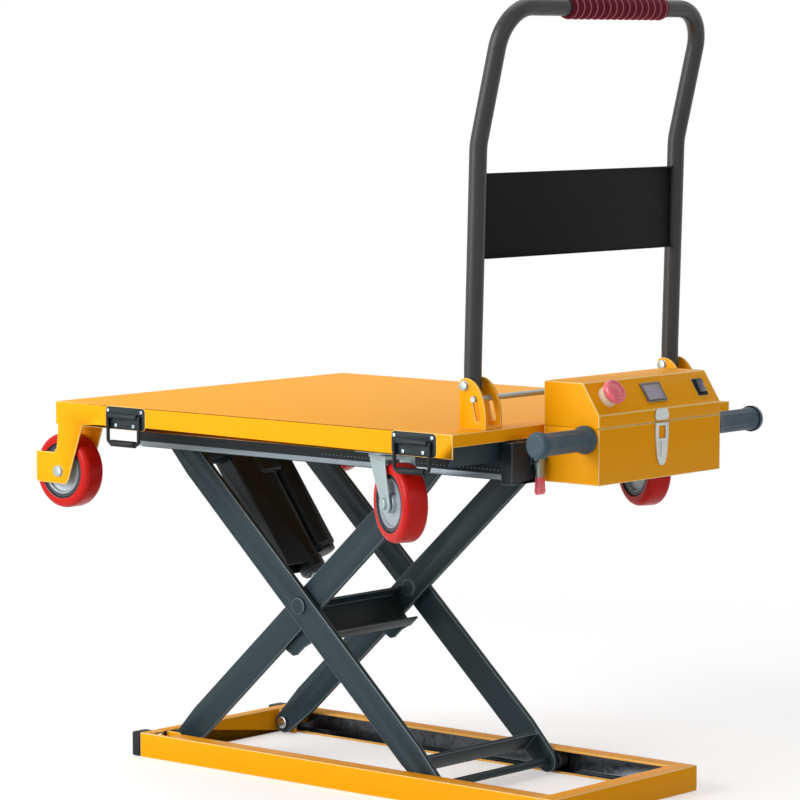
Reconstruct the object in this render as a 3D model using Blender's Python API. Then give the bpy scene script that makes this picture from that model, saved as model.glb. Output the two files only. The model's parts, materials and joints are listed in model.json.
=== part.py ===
"""Electric scissor lift cart with a sliding deck, modelled in Blender.

Metres, +Z up, +X towards the operator, -Y the near long side.
The base frame stands on the floor and the deck is raised, its casters in the air.
"""

import bpy
import bmesh
from math import acos, asin, atan2, cos, pi, radians, sin
from mathutils import Matrix, Vector

for old in list(bpy.data.objects):
    bpy.data.objects.remove(old, do_unlink=True)

# Clearances
GAP = 0.0003
PIN_GAP = 0.0003
RUN_GAP = 0.0005
SIDE_GAP = 0.0025

# How far a joined shape reaches into its neighbour, and a cutter past its piece
WELD = 0.001
CUT = 0.010

# Base frame and its channels
BASE_X0 = -0.469
BASE_X1 = 0.452
BASE_HALF_WIDTH = 0.190
CHANNEL_HEIGHT = 0.042
CHANNEL_FLANGE = 0.033
CHANNEL_WALL = 0.004
END_CAP_LENGTH = 0.020
FLANGE_NOTCH = 0.046
EAR_REACH = 0.016
BASE_PIN_HEAD_RADIUS = 0.0105
BASE_PIN_HEAD = 0.006
CROSS_DEPTH = 0.022
END_CROSS_DEPTH = 0.034

# Scissor linkage
ARM_LENGTH = 0.790
PIVOT_RISE = 0.5362526
REST_ANGLE = asin(PIVOT_RISE / ARM_LENGTH)
ARM_HEIGHT = 0.050
ARM_END_RADIUS = 0.019
ARM_TAPER = 0.070
ARM_THICKNESS = 0.010
PIVOT_X = -0.405
ARM_SIDE_ROOM = 0.047
ARM_PITCH = 0.015
OUTER_ARM_Y = BASE_HALF_WIDTH - ARM_SIDE_ROOM
INNER_ARM_Y = OUTER_ARM_Y - ARM_PITCH
PIN_RADIUS = 0.008
CENTRE_PIN_RADIUS = 0.010
PIN_HEAD_RIM = 0.004
ROLLER_RADIUS = 0.0165
ROLLER_WIDTH = 0.022
SHAFT_RADIUS = 0.007
EAR_THICKNESS = 0.005
BEAM_START = ARM_LENGTH / 2 - 0.040
BEAM_WIDTH = 0.023
BEAM_LOW = -0.052
BEAM_HIGH = 0.016
BEAM_WALL = 0.004
BEAM_EAR_START = BEAM_START - 0.055
BEAM_EAR_LOW = -0.046
BEAM_EAR_THICKNESS = 0.005
TIE_PLACE = ARM_LENGTH / 2 - 0.050
TIE_HALF = 0.020
TIE_THICKNESS = 0.006

# Actuator
ACTUATOR_TOP_OFFSET = 0.060
ACTUATOR_LOW_OFFSET = BEAM_START - 0.023
ACTUATOR_TUBE_RADIUS = 0.020
ACTUATOR_TUBE_END = 0.245
ACTUATOR_BORE_START = 0.060
ACTUATOR_TRAVEL = 0.066
ACTUATOR_ROD_RADIUS = 0.009
COLLAR_RADIUS = 0.023
COLLAR_LENGTH = 0.020
GEARBOX_HALF = 0.025
MOTOR_RADIUS = 0.023
MOTOR_OFFSET = 0.050
MOTOR_LENGTH = 0.190
GUARD_OUTER_Y = -0.078
GUARD_HALF = 0.0195
GUARD_SHEET = 0.002
GUARD_X0 = -0.022
GUARD_X1 = 0.232
ROD_HEAD_RADIUS = 0.012
ROD_PIN_RADIUS = 0.006
CLEVIS_WINDOW_RADIUS = 0.0165
CLEVIS_OUTER_RADIUS = 0.0225
CLEVIS_INNER_Y = 0.0135
CLEVIS_THICKNESS = 0.005
TOP_TUBE_RADIUS = 0.013

# Top frame and telescopic slides
TOP_X0 = -0.440
TOP_X1 = 0.3985
END_PLATE_THICKNESS = 0.004
STOP_BLOCK_LENGTH = 0.018
STOP_BLOCK_WIDTH = 0.045
STOP_BLOCK_RISE = 0.024
SLIDE_X0 = -0.440
SLIDE_X1 = 0.376
SLIDE_MEMBER = 0.006
SLIDE_GROOVE = 0.012
SLIDE_TONGUE = 0.0025
SLIDE_INSET = 0.002
TONGUE_INSET = 0.020
DECK_SLIDE_WALL = 0.003
DECK_SLIDE_LOW = 0.0105
DECK_SLIDE_FLANGE = 0.026

# Deck
DECK_X0 = -0.472
DECK_X1 = 0.388
DECK_HALF_WIDTH = 0.3625
DECK_TOP = 0.624
SHEET = 0.003
LONG_SKIRT = 0.038
END_SKIRT = 0.020
SKIRT_LIP = 0.012
BEAM_X0 = 0.176
BEAM_X1 = 0.276
CASTER_BEAM_HEIGHT = 0.033
CASTER_BEAM_Y0 = 0.235
CLOSING_PLATE_DROP = 0.052
CLOSING_PLATE_INSET = 0.010
WHEEL_ROOM = 0.004

# Wheels
WHEEL_RADIUS = 0.0625
WHEEL_WIDTH = 0.042
TYRE_SHOULDER = 0.010
RIM_RADIUS = 0.0447
AXLE_RADIUS = 0.006
AXLE_Z = 0.507
FIXED_AXLE_X = -0.466
FORK_GAP = 0.0025
FORK_WALL = 0.003
FORK_BELOW_AXLE = 0.021
CASTER_X = 0.226
CASTER_INSET = 0.0465
CASTER_Y = DECK_HALF_WIDTH - CASTER_INSET
CASTER_REST = radians(-24.0)
CASTER_TRAIL = 0.034
CASTER_LEG = 0.0035
CASTER_CROWN = 0.006
CASTER_PLATE = 0.004
CASTER_RACE = 0.0025
CASTER_PLATE_HALF_X = 0.046
CASTER_PLATE_HALF_Y = 0.034
CASTER_RACE_RADIUS = 0.029
CROWN_HALF = 0.026
BOLT_HEAD_RADIUS = 0.0095

# Chest handles on the long skirts
CHEST_HANDLE_XS = (-0.3085, 0.3115)
CHEST_PLATE_LENGTH = 0.088
CHEST_PLATE_HEIGHT = 0.036
CHEST_PLATE_THICKNESS = 0.002
CHEST_KNUCKLE_Z = 0.6085
CHEST_KNUCKLE_RADIUS = 0.0045
BAIL_RADIUS = 0.0030
BAIL_END = 0.0012
BAIL_DROP = 0.045
BAIL_HALF = 0.035
BAIL_GRIP_RADIUS = 0.0055
RIVET_RADIUS = 0.0035
RIVET_HEIGHT = 0.0015
RIVET_INSET = 0.006
CHEST_LOW_RIVET_X = 0.020
CHEST_PLATE_CORNER = 0.006

# Push handle
HANDLE_X = 0.342
HANDLE_INSET = 0.1055
HANDLE_Y = DECK_HALF_WIDTH - HANDLE_INSET
HANDLE_PIVOT_Z = 0.691
TUBE_RADIUS = 0.014
TUBE_WALL = 0.002
HANDLE_FOOT = 0.016
HANDLE_BEND_Z = 1.062
HANDLE_LOWER_LEAN = 0.010
HANDLE_TOP_Z = 1.274
HANDLE_TOP_LEAN = 0.062
CORNER_RADIUS = 0.065
PANEL_Z0 = 0.886
PANEL_Z1 = 1.018
PANEL_THICKNESS = 0.002
PANEL_LIP = 0.010
HANDLE_GRIP_RADIUS = 0.0195
HANDLE_GRIP_LENGTH = 0.250
HANDLE_GRIP_SHIFT = 0.018
GRIP_RIB_PITCH = 0.060
BRACKET_THICKNESS = 0.004
BRACKET_LENGTH = 0.052
BRACKET_BACK = 0.010
BRACKET_TOP = 0.012
PIVOT_BOLT_RADIUS = 0.005
PIVOT_HEAD_RADIUS = 0.0075
BRACKET_SHOULDER = 0.016
SLOT_TOP = Vector((0.0195, -0.020))
SLOT_BOTTOM = Vector((0.0275, -0.050))
LOCK_ROD_RADIUS = 0.0045

# Control box
BOX_X0 = 0.406
BOX_X1 = 0.514
BOX_HALF_WIDTH = 0.160
BOX_Z0 = 0.537
BOX_Z1 = 0.695
BOX_SLOPE_Z = 0.646
BOX_SLOPE_X = 0.482
BOX_SEAM_Z = 0.6255
BOX_WALL = 0.0025
LID_HINGE_BACK = 0.0024
MOUNT_PLATE_INSET = 0.004
MOUNT_PLATE_HALF_WIDTH = BOX_HALF_WIDTH - MOUNT_PLATE_INSET
MOUNT_PLATE_TOP = 0.600
SIDE_GRIP_X = 0.490
SIDE_GRIP_Z = 0.608
SIDE_GRIP_LENGTH = 0.128
SIDE_GRIP_RADIUS = 0.0185
SIDE_GRIP_FLANGE = 0.022
GRIP_BAR_RADIUS = 0.008
BATTERY_HALF_LENGTH = 0.085
BATTERY_TOP = 0.612
ESTOP_Y = -0.122
ESTOP_COLLAR_RADIUS = 0.0165
ESTOP_COLLAR_HEIGHT = 0.011
ESTOP_STEM_RADIUS = 0.009
ESTOP_HEAD_RADIUS = 0.0200
ESTOP_HEAD_HEIGHT = 0.0125
ESTOP_TRAVEL = 0.004
METER_SIZE = (0.050, 0.034)
METER_THICKNESS = 0.003
METER_FRAME = 0.0045
SWITCH_Y = 0.124
SWITCH_SIZE = (0.024, 0.030)
SWITCH_BEZEL = 0.003
SWITCH_FRAME = 0.003
SWITCH_FLOOR = 0.001
LATCH_WIDTH = 0.036
LATCH_LENGTH = 0.069
LATCH_THICKNESS = 0.003
LATCH_STANDOFF = 0.0028
LATCH_HINGE_DROP = 0.002
SLIDE_LOCK_ROOM = 0.017
SLIDE_LOCK_Y = -(BOX_HALF_WIDTH + SLIDE_LOCK_ROOM)
SLIDE_LOCK_WIDTH = 0.022
SLIDE_LOCK_LENGTH = 0.056
SLIDE_LOCK_STANDOFF = 0.009
SLIDE_LOCK_PIN = 0.0025
SLIDE_LOCK_EYE = 0.003
SLIDE_LOCK_EYE_RADIUS = 0.0055

# Places worked out from the driving sizes
PIVOT_Z = CHANNEL_HEIGHT / 2
RISE = ARM_LENGTH * sin(REST_ANGLE)
REACH = ARM_LENGTH * cos(REST_ANGLE)
TOP_PIVOT_Z = PIVOT_Z + RISE
ROLLER_X = PIVOT_X + REACH
CENTRE_X = PIVOT_X + REACH / 2
CENTRE_Z = PIVOT_Z + RISE / 2
WEB_INNER_Y = BASE_HALF_WIDTH - CHANNEL_WALL
FLANGE_TIP_Y = BASE_HALF_WIDTH - CHANNEL_FLANGE
TOP_FRAME_LOW = TOP_PIVOT_Z - CHANNEL_HEIGHT / 2
TOP_FRAME_HIGH = TOP_PIVOT_Z + CHANNEL_HEIGHT / 2
DECK_UNDER = DECK_TOP - SHEET
SKIRT_LOW = DECK_TOP - LONG_SKIRT
DECK_SLIDE_Y = BASE_HALF_WIDTH + SLIDE_MEMBER + RUN_GAP
DECK_SLIDE_LOW_Z = TOP_FRAME_LOW + DECK_SLIDE_LOW
CASTER_BEAM_LOW = DECK_UNDER - GAP - CASTER_BEAM_HEIGHT
CASTER_PLATE_LOW = CASTER_BEAM_LOW - GAP - CASTER_PLATE
CROWN_TOP = CASTER_PLATE_LOW - CASTER_RACE - GAP
LEG_INNER_Y = WHEEL_WIDTH / 2 + FORK_GAP
FORK_OUTER_Y = DECK_HALF_WIDTH - FORK_WALL
FIXED_WHEEL_Y = FORK_OUTER_Y - LEG_INNER_Y
FORK_INNER_Y = FIXED_WHEEL_Y - LEG_INNER_Y
SLOPE = Vector((BOX_SLOPE_X - BOX_X1, BOX_Z1 - BOX_SLOPE_Z))
SLOPE_UP = SLOPE.normalized()
SLOPE_OUT = Vector((SLOPE_UP.y, -SLOPE_UP.x))
SLOPE_MID = Vector((BOX_X1, BOX_SLOPE_Z)) + SLOPE / 2

MATERIALS = {
    "yellow_paint": ((0.86, 0.50, 0.02), 0.40, 0.0),
    "dark_paint": ((0.030, 0.048, 0.058), 0.45, 0.2),
    "black_plastic": ((0.012, 0.012, 0.014), 0.50, 0.0),
    "black_paint": ((0.020, 0.022, 0.024), 0.42, 0.2),
    "dark_tube": ((0.055, 0.055, 0.055), 0.38, 0.3),
    "zinc": ((0.62, 0.68, 0.68), 0.32, 0.9),
    "steel": ((0.50, 0.52, 0.53), 0.28, 1.0),
    "rail_black": ((0.016, 0.018, 0.020), 0.38, 0.4),
    "rail_silver": ((0.55, 0.60, 0.62), 0.30, 1.0),
    "red_tyre": ((0.60, 0.015, 0.012), 0.45, 0.0),
    "grey_hub": ((0.62, 0.64, 0.64), 0.45, 0.1),
    "maroon_foam": ((0.16, 0.020, 0.028), 0.85, 0.0),
    "blue_rubber": ((0.060, 0.085, 0.110), 0.60, 0.0),
    "cream_plastic": ((0.82, 0.80, 0.70), 0.45, 0.0),
    "stop_red": ((0.85, 0.16, 0.19), 0.35, 0.0),
    "meter_plastic": ((0.30, 0.29, 0.36), 0.30, 0.0),
    "switch_plastic": ((0.045, 0.060, 0.090), 0.35, 0.0),
    "motor_black": ((0.014, 0.016, 0.018), 0.40, 0.2),
    "roller_nylon": ((0.10, 0.10, 0.11), 0.45, 0.0),
    "battery_case": ((0.05, 0.06, 0.07), 0.55, 0.0),
}


def material(name):
    """Return the named surface as a Principled material."""
    found = bpy.data.materials.get(name)
    if found:
        return found
    colour, roughness, metallic = MATERIALS[name]
    made = bpy.data.materials.new(name)
    made.use_nodes = True
    surface = made.node_tree.nodes["Principled BSDF"]
    surface.inputs["Base Color"].default_value = (*colour, 1.0)
    surface.inputs["Roughness"].default_value = roughness
    surface.inputs["Metallic"].default_value = metallic
    return made


def frame(name, place=(0, 0, 0), turn_y=0.0, turn_z=0.0):
    """Make an empty that carries one moving body, on its joint's axis."""
    empty = bpy.data.objects.new(name, None)
    empty.location = place
    empty.rotation_euler = (0, turn_y, turn_z)
    bpy.context.scene.collection.objects.link(empty)
    return empty


def finish(name, bm, surface=None, parent=None, smooth=False):
    """Turn a bmesh into an object, with every face pointing out."""
    bmesh.ops.recalc_face_normals(bm, faces=bm.faces)
    mesh = bpy.data.meshes.new(name)
    bm.to_mesh(mesh)
    bm.free()
    thing = bpy.data.objects.new(name, mesh)
    bpy.context.scene.collection.objects.link(thing)
    if surface:
        mesh.materials.append(material(surface))
    if smooth:
        mesh.shade_smooth()
        mesh.set_sharp_from_angle(angle=radians(32))
    thing.parent = parent
    return thing


def tool(name, bm, parent=None):
    """Make a hidden shape that another piece is cut or joined with."""
    thing = finish(name, bm, parent=parent)
    thing.hide_render = True
    thing.display_type = "WIRE"
    return thing


def combine(thing, operation, *others):
    """Add one Boolean for each of the other shapes."""
    for other in others:
        change = thing.modifiers.new(other.name, "BOOLEAN")
        change.operation = operation
        change.object = other
        change.solver = "EXACT"
    return thing


def to_world(axis, a, b, along):
    """Place an outline point (a, b) at a distance along X, Y or Z."""
    if axis == "x":
        return Vector((along, a, b))
    if axis == "y":
        return Vector((a, along, b))
    return Vector((a, b, along))


def prism(bm, outline, axis, low, high):
    """Extrude an outline along an axis. On x it reads (y, z), on y (x, z), on z (x, y)."""
    start = [bm.verts.new(to_world(axis, a, b, low)) for a, b in outline]
    end = [bm.verts.new(to_world(axis, a, b, high)) for a, b in outline]
    bm.faces.new(start)
    bm.faces.new(end)
    count = len(outline)
    for i in range(count):
        j = (i + 1) % count
        bm.faces.new((start[i], start[j], end[j], end[i]))
    return bm


def box(bm, low, high):
    """Add a block between two corners."""
    outline = [(low[0], low[1]), (high[0], low[1]), (high[0], high[1]), (low[0], high[1])]
    return prism(bm, outline, "z", low[2], high[2])


def circle(centre, radius, count, start=0.0, sweep=2 * pi):
    """List points on a circle, or on an arc when the sweep is shorter."""
    full = abs(sweep - 2 * pi) < 1e-9
    steps = count if full else count - 1
    angles = [start + sweep * i / steps for i in range(count)]
    return [(centre[0] + radius * cos(angle), centre[1] + radius * sin(angle)) for angle in angles]


def cylinder(bm, axis, centre, radius, low, high, count=16):
    """Add a round bar. The centre is the pair of places across the axis."""
    return prism(bm, circle(centre, radius, count), axis, low, high)


def turned(bm, profile, axis, centre, count=32):
    """Turn a closed (radius, along) profile about an axis through the centre pair."""
    rings = []
    for radius, along in profile:
        if radius < 1e-6:
            rings.append([bm.verts.new(to_world(axis, centre[0], centre[1], along))])
        else:
            ring = circle(centre, radius, count)
            rings.append([bm.verts.new(to_world(axis, a, b, along)) for a, b in ring])
    solid = len(rings[0]) == 1 and len(rings[-1]) == 1
    pairs = list(zip(rings, rings[1:]))
    if not solid:
        pairs.append((rings[-1], rings[0]))
    for one, two in pairs:
        for i in range(count):
            j = (i + 1) % count
            if len(one) == 1:
                bm.faces.new((one[0], two[i], two[j]))
            elif len(two) == 1:
                bm.faces.new((one[i], one[j], two[0]))
            else:
                bm.faces.new((one[i], one[j], two[j], two[i]))
    return bm


def swept(bm, points, radius, bore=0.0, count=12):
    """Sweep a round bar, or a pipe when it has a bore, along a list of points."""
    points = [Vector(p) for p in points]
    side = Vector((1, 0, 0))
    rows = {"skin": [], "bore": []}
    for i, point in enumerate(points):
        ahead = points[min(i + 1, len(points) - 1)] - points[max(i - 1, 0)]
        ahead.normalize()
        side = (side - side.dot(ahead) * ahead).normalized()
        other = ahead.cross(side)
        for key, size in (("skin", radius), ("bore", bore)):
            if size:
                ring = circle((0, 0), size, count)
                rows[key].append([bm.verts.new(point + a * side + b * other) for a, b in ring])
    for rings in rows.values():
        for one, two in zip(rings, rings[1:]):
            for k in range(count):
                m = (k + 1) % count
                bm.faces.new((one[k], one[m], two[m], two[k]))
    for end in (0, -1):
        if bore:
            skin = rows["skin"][end]
            inner = rows["bore"][end]
            for k in range(count):
                m = (k + 1) % count
                bm.faces.new((skin[k], skin[m], inner[m], inner[k]))
        else:
            bm.faces.new(rows["skin"][end])
    return bm


def rounded_path(corners, radius, steps=6):
    """Round the inner corners of a path with arcs, and list its points."""
    corners = [Vector(c) for c in corners]
    path = [corners[0]]
    for before, corner, after in zip(corners, corners[1:], corners[2:]):
        back = (before - corner).normalized()
        on = (after - corner).normalized()
        half = acos(max(-1.0, min(1.0, back.dot(on)))) / 2
        cut = radius / (sin(half) / cos(half))
        centre = corner + (back + on).normalized() * (radius / sin(half))
        start = corner + back * cut - centre
        end = corner + on * cut - centre
        swing = start.angle(end)
        for i in range(steps + 1):
            t = i / steps
            path.append(centre + (sin((1 - t) * swing) * start + sin(t * swing) * end) / sin(swing))
    path.append(corners[-1])
    return path


def channel_outline(outer, inward, low, high, wall=CHANNEL_WALL, flange=CHANNEL_FLANGE):
    """Outline a C section in (y, z) whose web is at outer and whose mouth looks inward."""
    web = outer + inward * wall
    tip = outer + inward * flange
    return [
        (outer, low), (tip, low), (tip, low + wall), (web, low + wall),
        (web, high - wall), (tip, high - wall), (tip, high), (outer, high),
    ]


def sides():
    """Name the near and far side of the cart with their sign in Y."""
    return (("near", -1), ("far", 1))


def across(sign, a, b):
    """Order two distances from the middle plane as a low and a high Y."""
    return sorted((sign * a, sign * b))


def make_base():
    """Build the floor frame: two long channels, its cross members, pins and caps."""
    cap_x = BASE_X0 + END_CAP_LENGTH
    rail_end = BASE_X1 - END_CROSS_DEPTH - GAP
    for side, sign in sides():
        outline = channel_outline(sign * BASE_HALF_WIDTH, -sign, 0.0, CHANNEL_HEIGHT)
        channel = prism(bmesh.new(), outline, "x", cap_x + GAP, rail_end)
        rail = finish("base_channel_" + side, channel, "yellow_paint")
        y0, y1 = across(sign, FLANGE_TIP_Y - CUT, WEB_INNER_Y - CHANNEL_WALL)
        notch_z = CHANNEL_HEIGHT - CHANNEL_WALL - GAP
        notch_half = FLANGE_NOTCH / 2
        notch = box(
            bmesh.new(), (PIVOT_X - notch_half, y0, notch_z), (PIVOT_X + notch_half, y1, CHANNEL_HEIGHT + CUT)
        )
        combine(rail, "DIFFERENCE", tool("flange_notch_" + side, notch))

    inner = FLANGE_TIP_Y - GAP
    cross_x = cap_x + CROSS_DEPTH
    under = CHANNEL_HEIGHT - CHANNEL_WALL
    left = [
        (cap_x, 0.0), (cross_x, 0.0), (cross_x, CHANNEL_HEIGHT), (cap_x, CHANNEL_HEIGHT), (cap_x, under),
        (cross_x - CHANNEL_WALL, under), (cross_x - CHANNEL_WALL, CHANNEL_WALL), (cap_x, CHANNEL_WALL),
    ]
    cross = finish("base_left_member", prism(bmesh.new(), left, "y", -inner, inner), "yellow_paint")
    ear_far = PIVOT_X + EAR_REACH
    ear_start = cross_x - WELD
    ear = [
        (ear_start, WELD), (ear_far, WELD), (ear_far, CHANNEL_HEIGHT * 0.7),
        (ear_far - 0.010, CHANNEL_HEIGHT - WELD), (ear_start, CHANNEL_HEIGHT - WELD),
    ]
    arm_skin = INNER_ARM_Y + ARM_THICKNESS
    for side, sign in sides():
        y0, y1 = across(sign, arm_skin + SIDE_GAP, arm_skin + SIDE_GAP + EAR_THICKNESS)
        inboard = sign * (INNER_ARM_Y - GAP - BASE_PIN_HEAD)
        head_end = sign * (INNER_ARM_Y - GAP)
        pin_end = sign * (WEB_INNER_Y - GAP)
        profile = [
            (0.0, inboard), (BASE_PIN_HEAD_RADIUS, inboard), (BASE_PIN_HEAD_RADIUS, head_end),
            (PIN_RADIUS, head_end), (PIN_RADIUS, pin_end), (0.0, pin_end),
        ]
        pin = turned(bmesh.new(), profile, "y", (PIVOT_X, PIVOT_Z), 16)
        ear_tool = tool("base_ear_" + side, prism(bmesh.new(), ear, "y", y0, y1))
        combine(cross, "UNION", ear_tool, tool("base_pin_" + side, pin))
    mouth_x = BASE_X1 - END_CROSS_DEPTH
    web_x = BASE_X1 - CHANNEL_WALL
    right = [
        (BASE_X1, 0.0), (mouth_x, 0.0), (mouth_x, CHANNEL_WALL), (web_x, CHANNEL_WALL),
        (web_x, under), (mouth_x, under), (mouth_x, CHANNEL_HEIGHT), (BASE_X1, CHANNEL_HEIGHT),
    ]
    closing = prism(bmesh.new(), right, "y", -BASE_HALF_WIDTH, BASE_HALF_WIDTH)
    finish("base_right_member", closing, "yellow_paint")

    for side, sign in sides():
        y0, y1 = across(sign, FLANGE_TIP_Y, BASE_HALF_WIDTH)
        block = box(bmesh.new(), (BASE_X0, y0, 0.0), (cap_x, y1, CHANNEL_HEIGHT))
        cap = finish("base_cap_" + side, block, "black_plastic")
        soften = cap.modifiers.new("rounded", "BEVEL")
        soften.width = 0.003
        soften.segments = 2


def arm_outline(x0, x1):
    """Outline a flat arm with round ends, tapered near each pivot."""
    half = ARM_HEIGHT / 2
    points = circle((x0, 0), ARM_END_RADIUS, 9, pi / 2, pi)
    points += [(x0 + ARM_TAPER, -half), (x1 - ARM_TAPER, -half)]
    points += circle((x1, 0), ARM_END_RADIUS, 9, -pi / 2, pi)
    points += [(x1 - ARM_TAPER, half), (x0 + ARM_TAPER, half)]
    return points


def make_arm(name, body, x0, y_near, sign, holes):
    """Build one scissor arm, drilled at each (place along it, radius)."""
    y0, y1 = across(sign, y_near, y_near + ARM_THICKNESS)
    flat = prism(bmesh.new(), arm_outline(x0, x0 + ARM_LENGTH), "y", y0, y1)
    arm = finish(name, flat, "dark_paint", body)
    cutters = bmesh.new()
    for place, radius in holes:
        cylinder(cutters, "y", (place, 0), radius, y0 - 0.005, y1 + 0.005)
    return combine(arm, "DIFFERENCE", tool(name + "_holes", cutters, body))


def make_inner_arms():
    """Build the inner pair of arms with its centre pins, roller shaft and clevis beam."""
    body = frame("inner_arms_axis", (PIVOT_X, 0, PIVOT_Z), -REST_ANGLE)
    head_radius = CENTRE_PIN_RADIUS + PIN_HEAD_RIM
    for side, sign in sides():
        holes = ((0.0, PIN_RADIUS + PIN_GAP), (ARM_LENGTH, SHAFT_RADIUS + PIN_GAP))
        arm = make_arm("inner_arm_" + side, body, 0.0, INNER_ARM_Y, sign, holes)
        inside = sign * (INNER_ARM_Y + ARM_THICKNESS / 2)
        face = sign * (OUTER_ARM_Y + ARM_THICKNESS + GAP)
        end = sign * (FLANGE_TIP_Y - GAP)
        profile = [
            (0.0, inside), (CENTRE_PIN_RADIUS, inside), (CENTRE_PIN_RADIUS, face), (head_radius, face),
            (head_radius, end), (0.0, end),
        ]
        pin = turned(bmesh.new(), profile, "y", (ARM_LENGTH / 2, 0), 20)
        y0, y1 = across(sign, INNER_ARM_Y - 0.003, INNER_ARM_Y + 0.002)
        head = cylinder(bmesh.new(), "y", (ARM_LENGTH / 2, 0), head_radius, y0, y1, 20)
        pin_tool = tool("centre_pin_" + side, pin, body)
        combine(arm, "UNION", pin_tool, tool("centre_pin_head_" + side, head, body))

    shaft_end = WEB_INNER_Y - RUN_GAP
    rod = cylinder(bmesh.new(), "y", (ARM_LENGTH, 0), SHAFT_RADIUS, -shaft_end, shaft_end)
    finish("inner_roller_shaft", rod, "steel", body, True)

    beam_end = BEAM_START + BEAM_WIDTH
    section = [
        (BEAM_START, BEAM_LOW), (beam_end, BEAM_LOW), (beam_end, BEAM_LOW + BEAM_WALL),
        (BEAM_START + BEAM_WALL, BEAM_LOW + BEAM_WALL), (BEAM_START + BEAM_WALL, BEAM_HIGH - BEAM_WALL),
        (beam_end, BEAM_HIGH - BEAM_WALL), (beam_end, BEAM_HIGH), (BEAM_START, BEAM_HIGH),
    ]
    half = INNER_ARM_Y - GAP
    beam = finish("inner_cross_beam", prism(bmesh.new(), section, "y", -half, half), "dark_paint", body)
    weld_x = BEAM_START + WELD
    for side, sign in sides():
        y0, y1 = across(sign, CLEVIS_INNER_Y, CLEVIS_INNER_Y + CLEVIS_THICKNESS)
        cheek = circle((ACTUATOR_LOW_OFFSET, 0), CLEVIS_OUTER_RADIUS, 17, pi * 0.35, pi * 1.3)
        cheek += [(weld_x, -CLEVIS_OUTER_RADIUS - 0.012), (weld_x, BEAM_HIGH - WELD)]
        y2, y3 = across(sign, half - BEAM_EAR_THICKNESS, half)
        lug = [
            (weld_x, BEAM_LOW + WELD), (weld_x, BEAM_HIGH - WELD), (BEAM_EAR_START + 0.020, BEAM_HIGH - WELD),
            (BEAM_EAR_START, -ARM_HEIGHT / 2), (BEAM_EAR_START + 0.006, BEAM_EAR_LOW + 0.004),
            (BEAM_EAR_START + 0.014, BEAM_EAR_LOW), (BEAM_START - 0.020, BEAM_EAR_LOW),
        ]
        cheek_tool = tool("clevis_cheek_" + side, prism(bmesh.new(), cheek, "y", y0, y1), body)
        lug_tool = tool("beam_ear_" + side, prism(bmesh.new(), lug, "y", y2, y3), body)
        combine(beam, "UNION", cheek_tool, lug_tool)
    window = cylinder(bmesh.new(), "y", (ACTUATOR_LOW_OFFSET, 0), CLEVIS_WINDOW_RADIUS, -0.03, 0.03, 24)
    combine(beam, "DIFFERENCE", tool("clevis_windows", window, body))


def make_outer_arms():
    """Build the outer pair of arms with its cross tube and roller shaft."""
    body = frame("outer_arms_axis", (CENTRE_X, 0, CENTRE_Z), REST_ANGLE)
    half = ARM_LENGTH / 2
    for side, sign in sides():
        holes = (
            (-half, PIN_RADIUS + PIN_GAP),
            (0.0, CENTRE_PIN_RADIUS + PIN_GAP),
            (half, SHAFT_RADIUS + PIN_GAP),
        )
        arm = make_arm("outer_arm_" + side, body, -half, OUTER_ARM_Y, sign, holes)

    span = OUTER_ARM_Y - GAP
    tie_end = (TIE_PLACE + TIE_THICKNESS, OUTER_ARM_Y + WELD, TIE_HALF)
    bar = box(bmesh.new(), (TIE_PLACE, -span, -TIE_HALF), tie_end)
    combine(arm, "UNION", tool("outer_tie_bar", bar, body))

    tie = cylinder(bmesh.new(), "y", (-half + ACTUATOR_TOP_OFFSET, 0), TOP_TUBE_RADIUS, -span, span, 20)
    finish("outer_cross_tube", tie, "dark_paint", body, True)

    shaft = bmesh.new()
    shaft_end = WEB_INNER_Y - RUN_GAP
    cylinder(shaft, "y", (half, 0), SHAFT_RADIUS, -shaft_end, shaft_end)
    finish("outer_roller_shaft", shaft, "steel", body, True)


def make_rollers():
    """Build the four track rollers, each turning on its shaft's end."""
    inner = FLANGE_TIP_Y + 0.004
    outer = inner + ROLLER_WIDTH
    bore = SHAFT_RADIUS + PIN_GAP
    edge = 0.0015
    for place, z in (("base", PIVOT_Z), ("top", TOP_PIVOT_Z)):
        for side, sign in sides():
            body = frame("%s_roller_%s_axis" % (place, side), (ROLLER_X, 0, z))
            profile = [
                (bore, inner), (ROLLER_RADIUS - edge, inner), (ROLLER_RADIUS, inner + edge),
                (ROLLER_RADIUS, outer - edge), (ROLLER_RADIUS - edge, outer), (bore, outer),
            ]
            profile = [(radius, sign * along) for radius, along in profile]
            name = "%s_roller_%s" % (place, side)
            finish(name, turned(bmesh.new(), profile, "y", (0, 0), 24), "roller_nylon", body, True)


def actuator_points():
    """Find the actuator's two ends, its length and its slope at rest."""
    top = Vector((
        PIVOT_X + ACTUATOR_TOP_OFFSET * cos(REST_ANGLE), TOP_PIVOT_Z - ACTUATOR_TOP_OFFSET * sin(REST_ANGLE)
    ))
    low = Vector((
        PIVOT_X + ACTUATOR_LOW_OFFSET * cos(REST_ANGLE), PIVOT_Z + ACTUATOR_LOW_OFFSET * sin(REST_ANGLE)
    ))
    line = low - top
    return top, low, line.length, atan2(-line.y, line.x)


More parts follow.
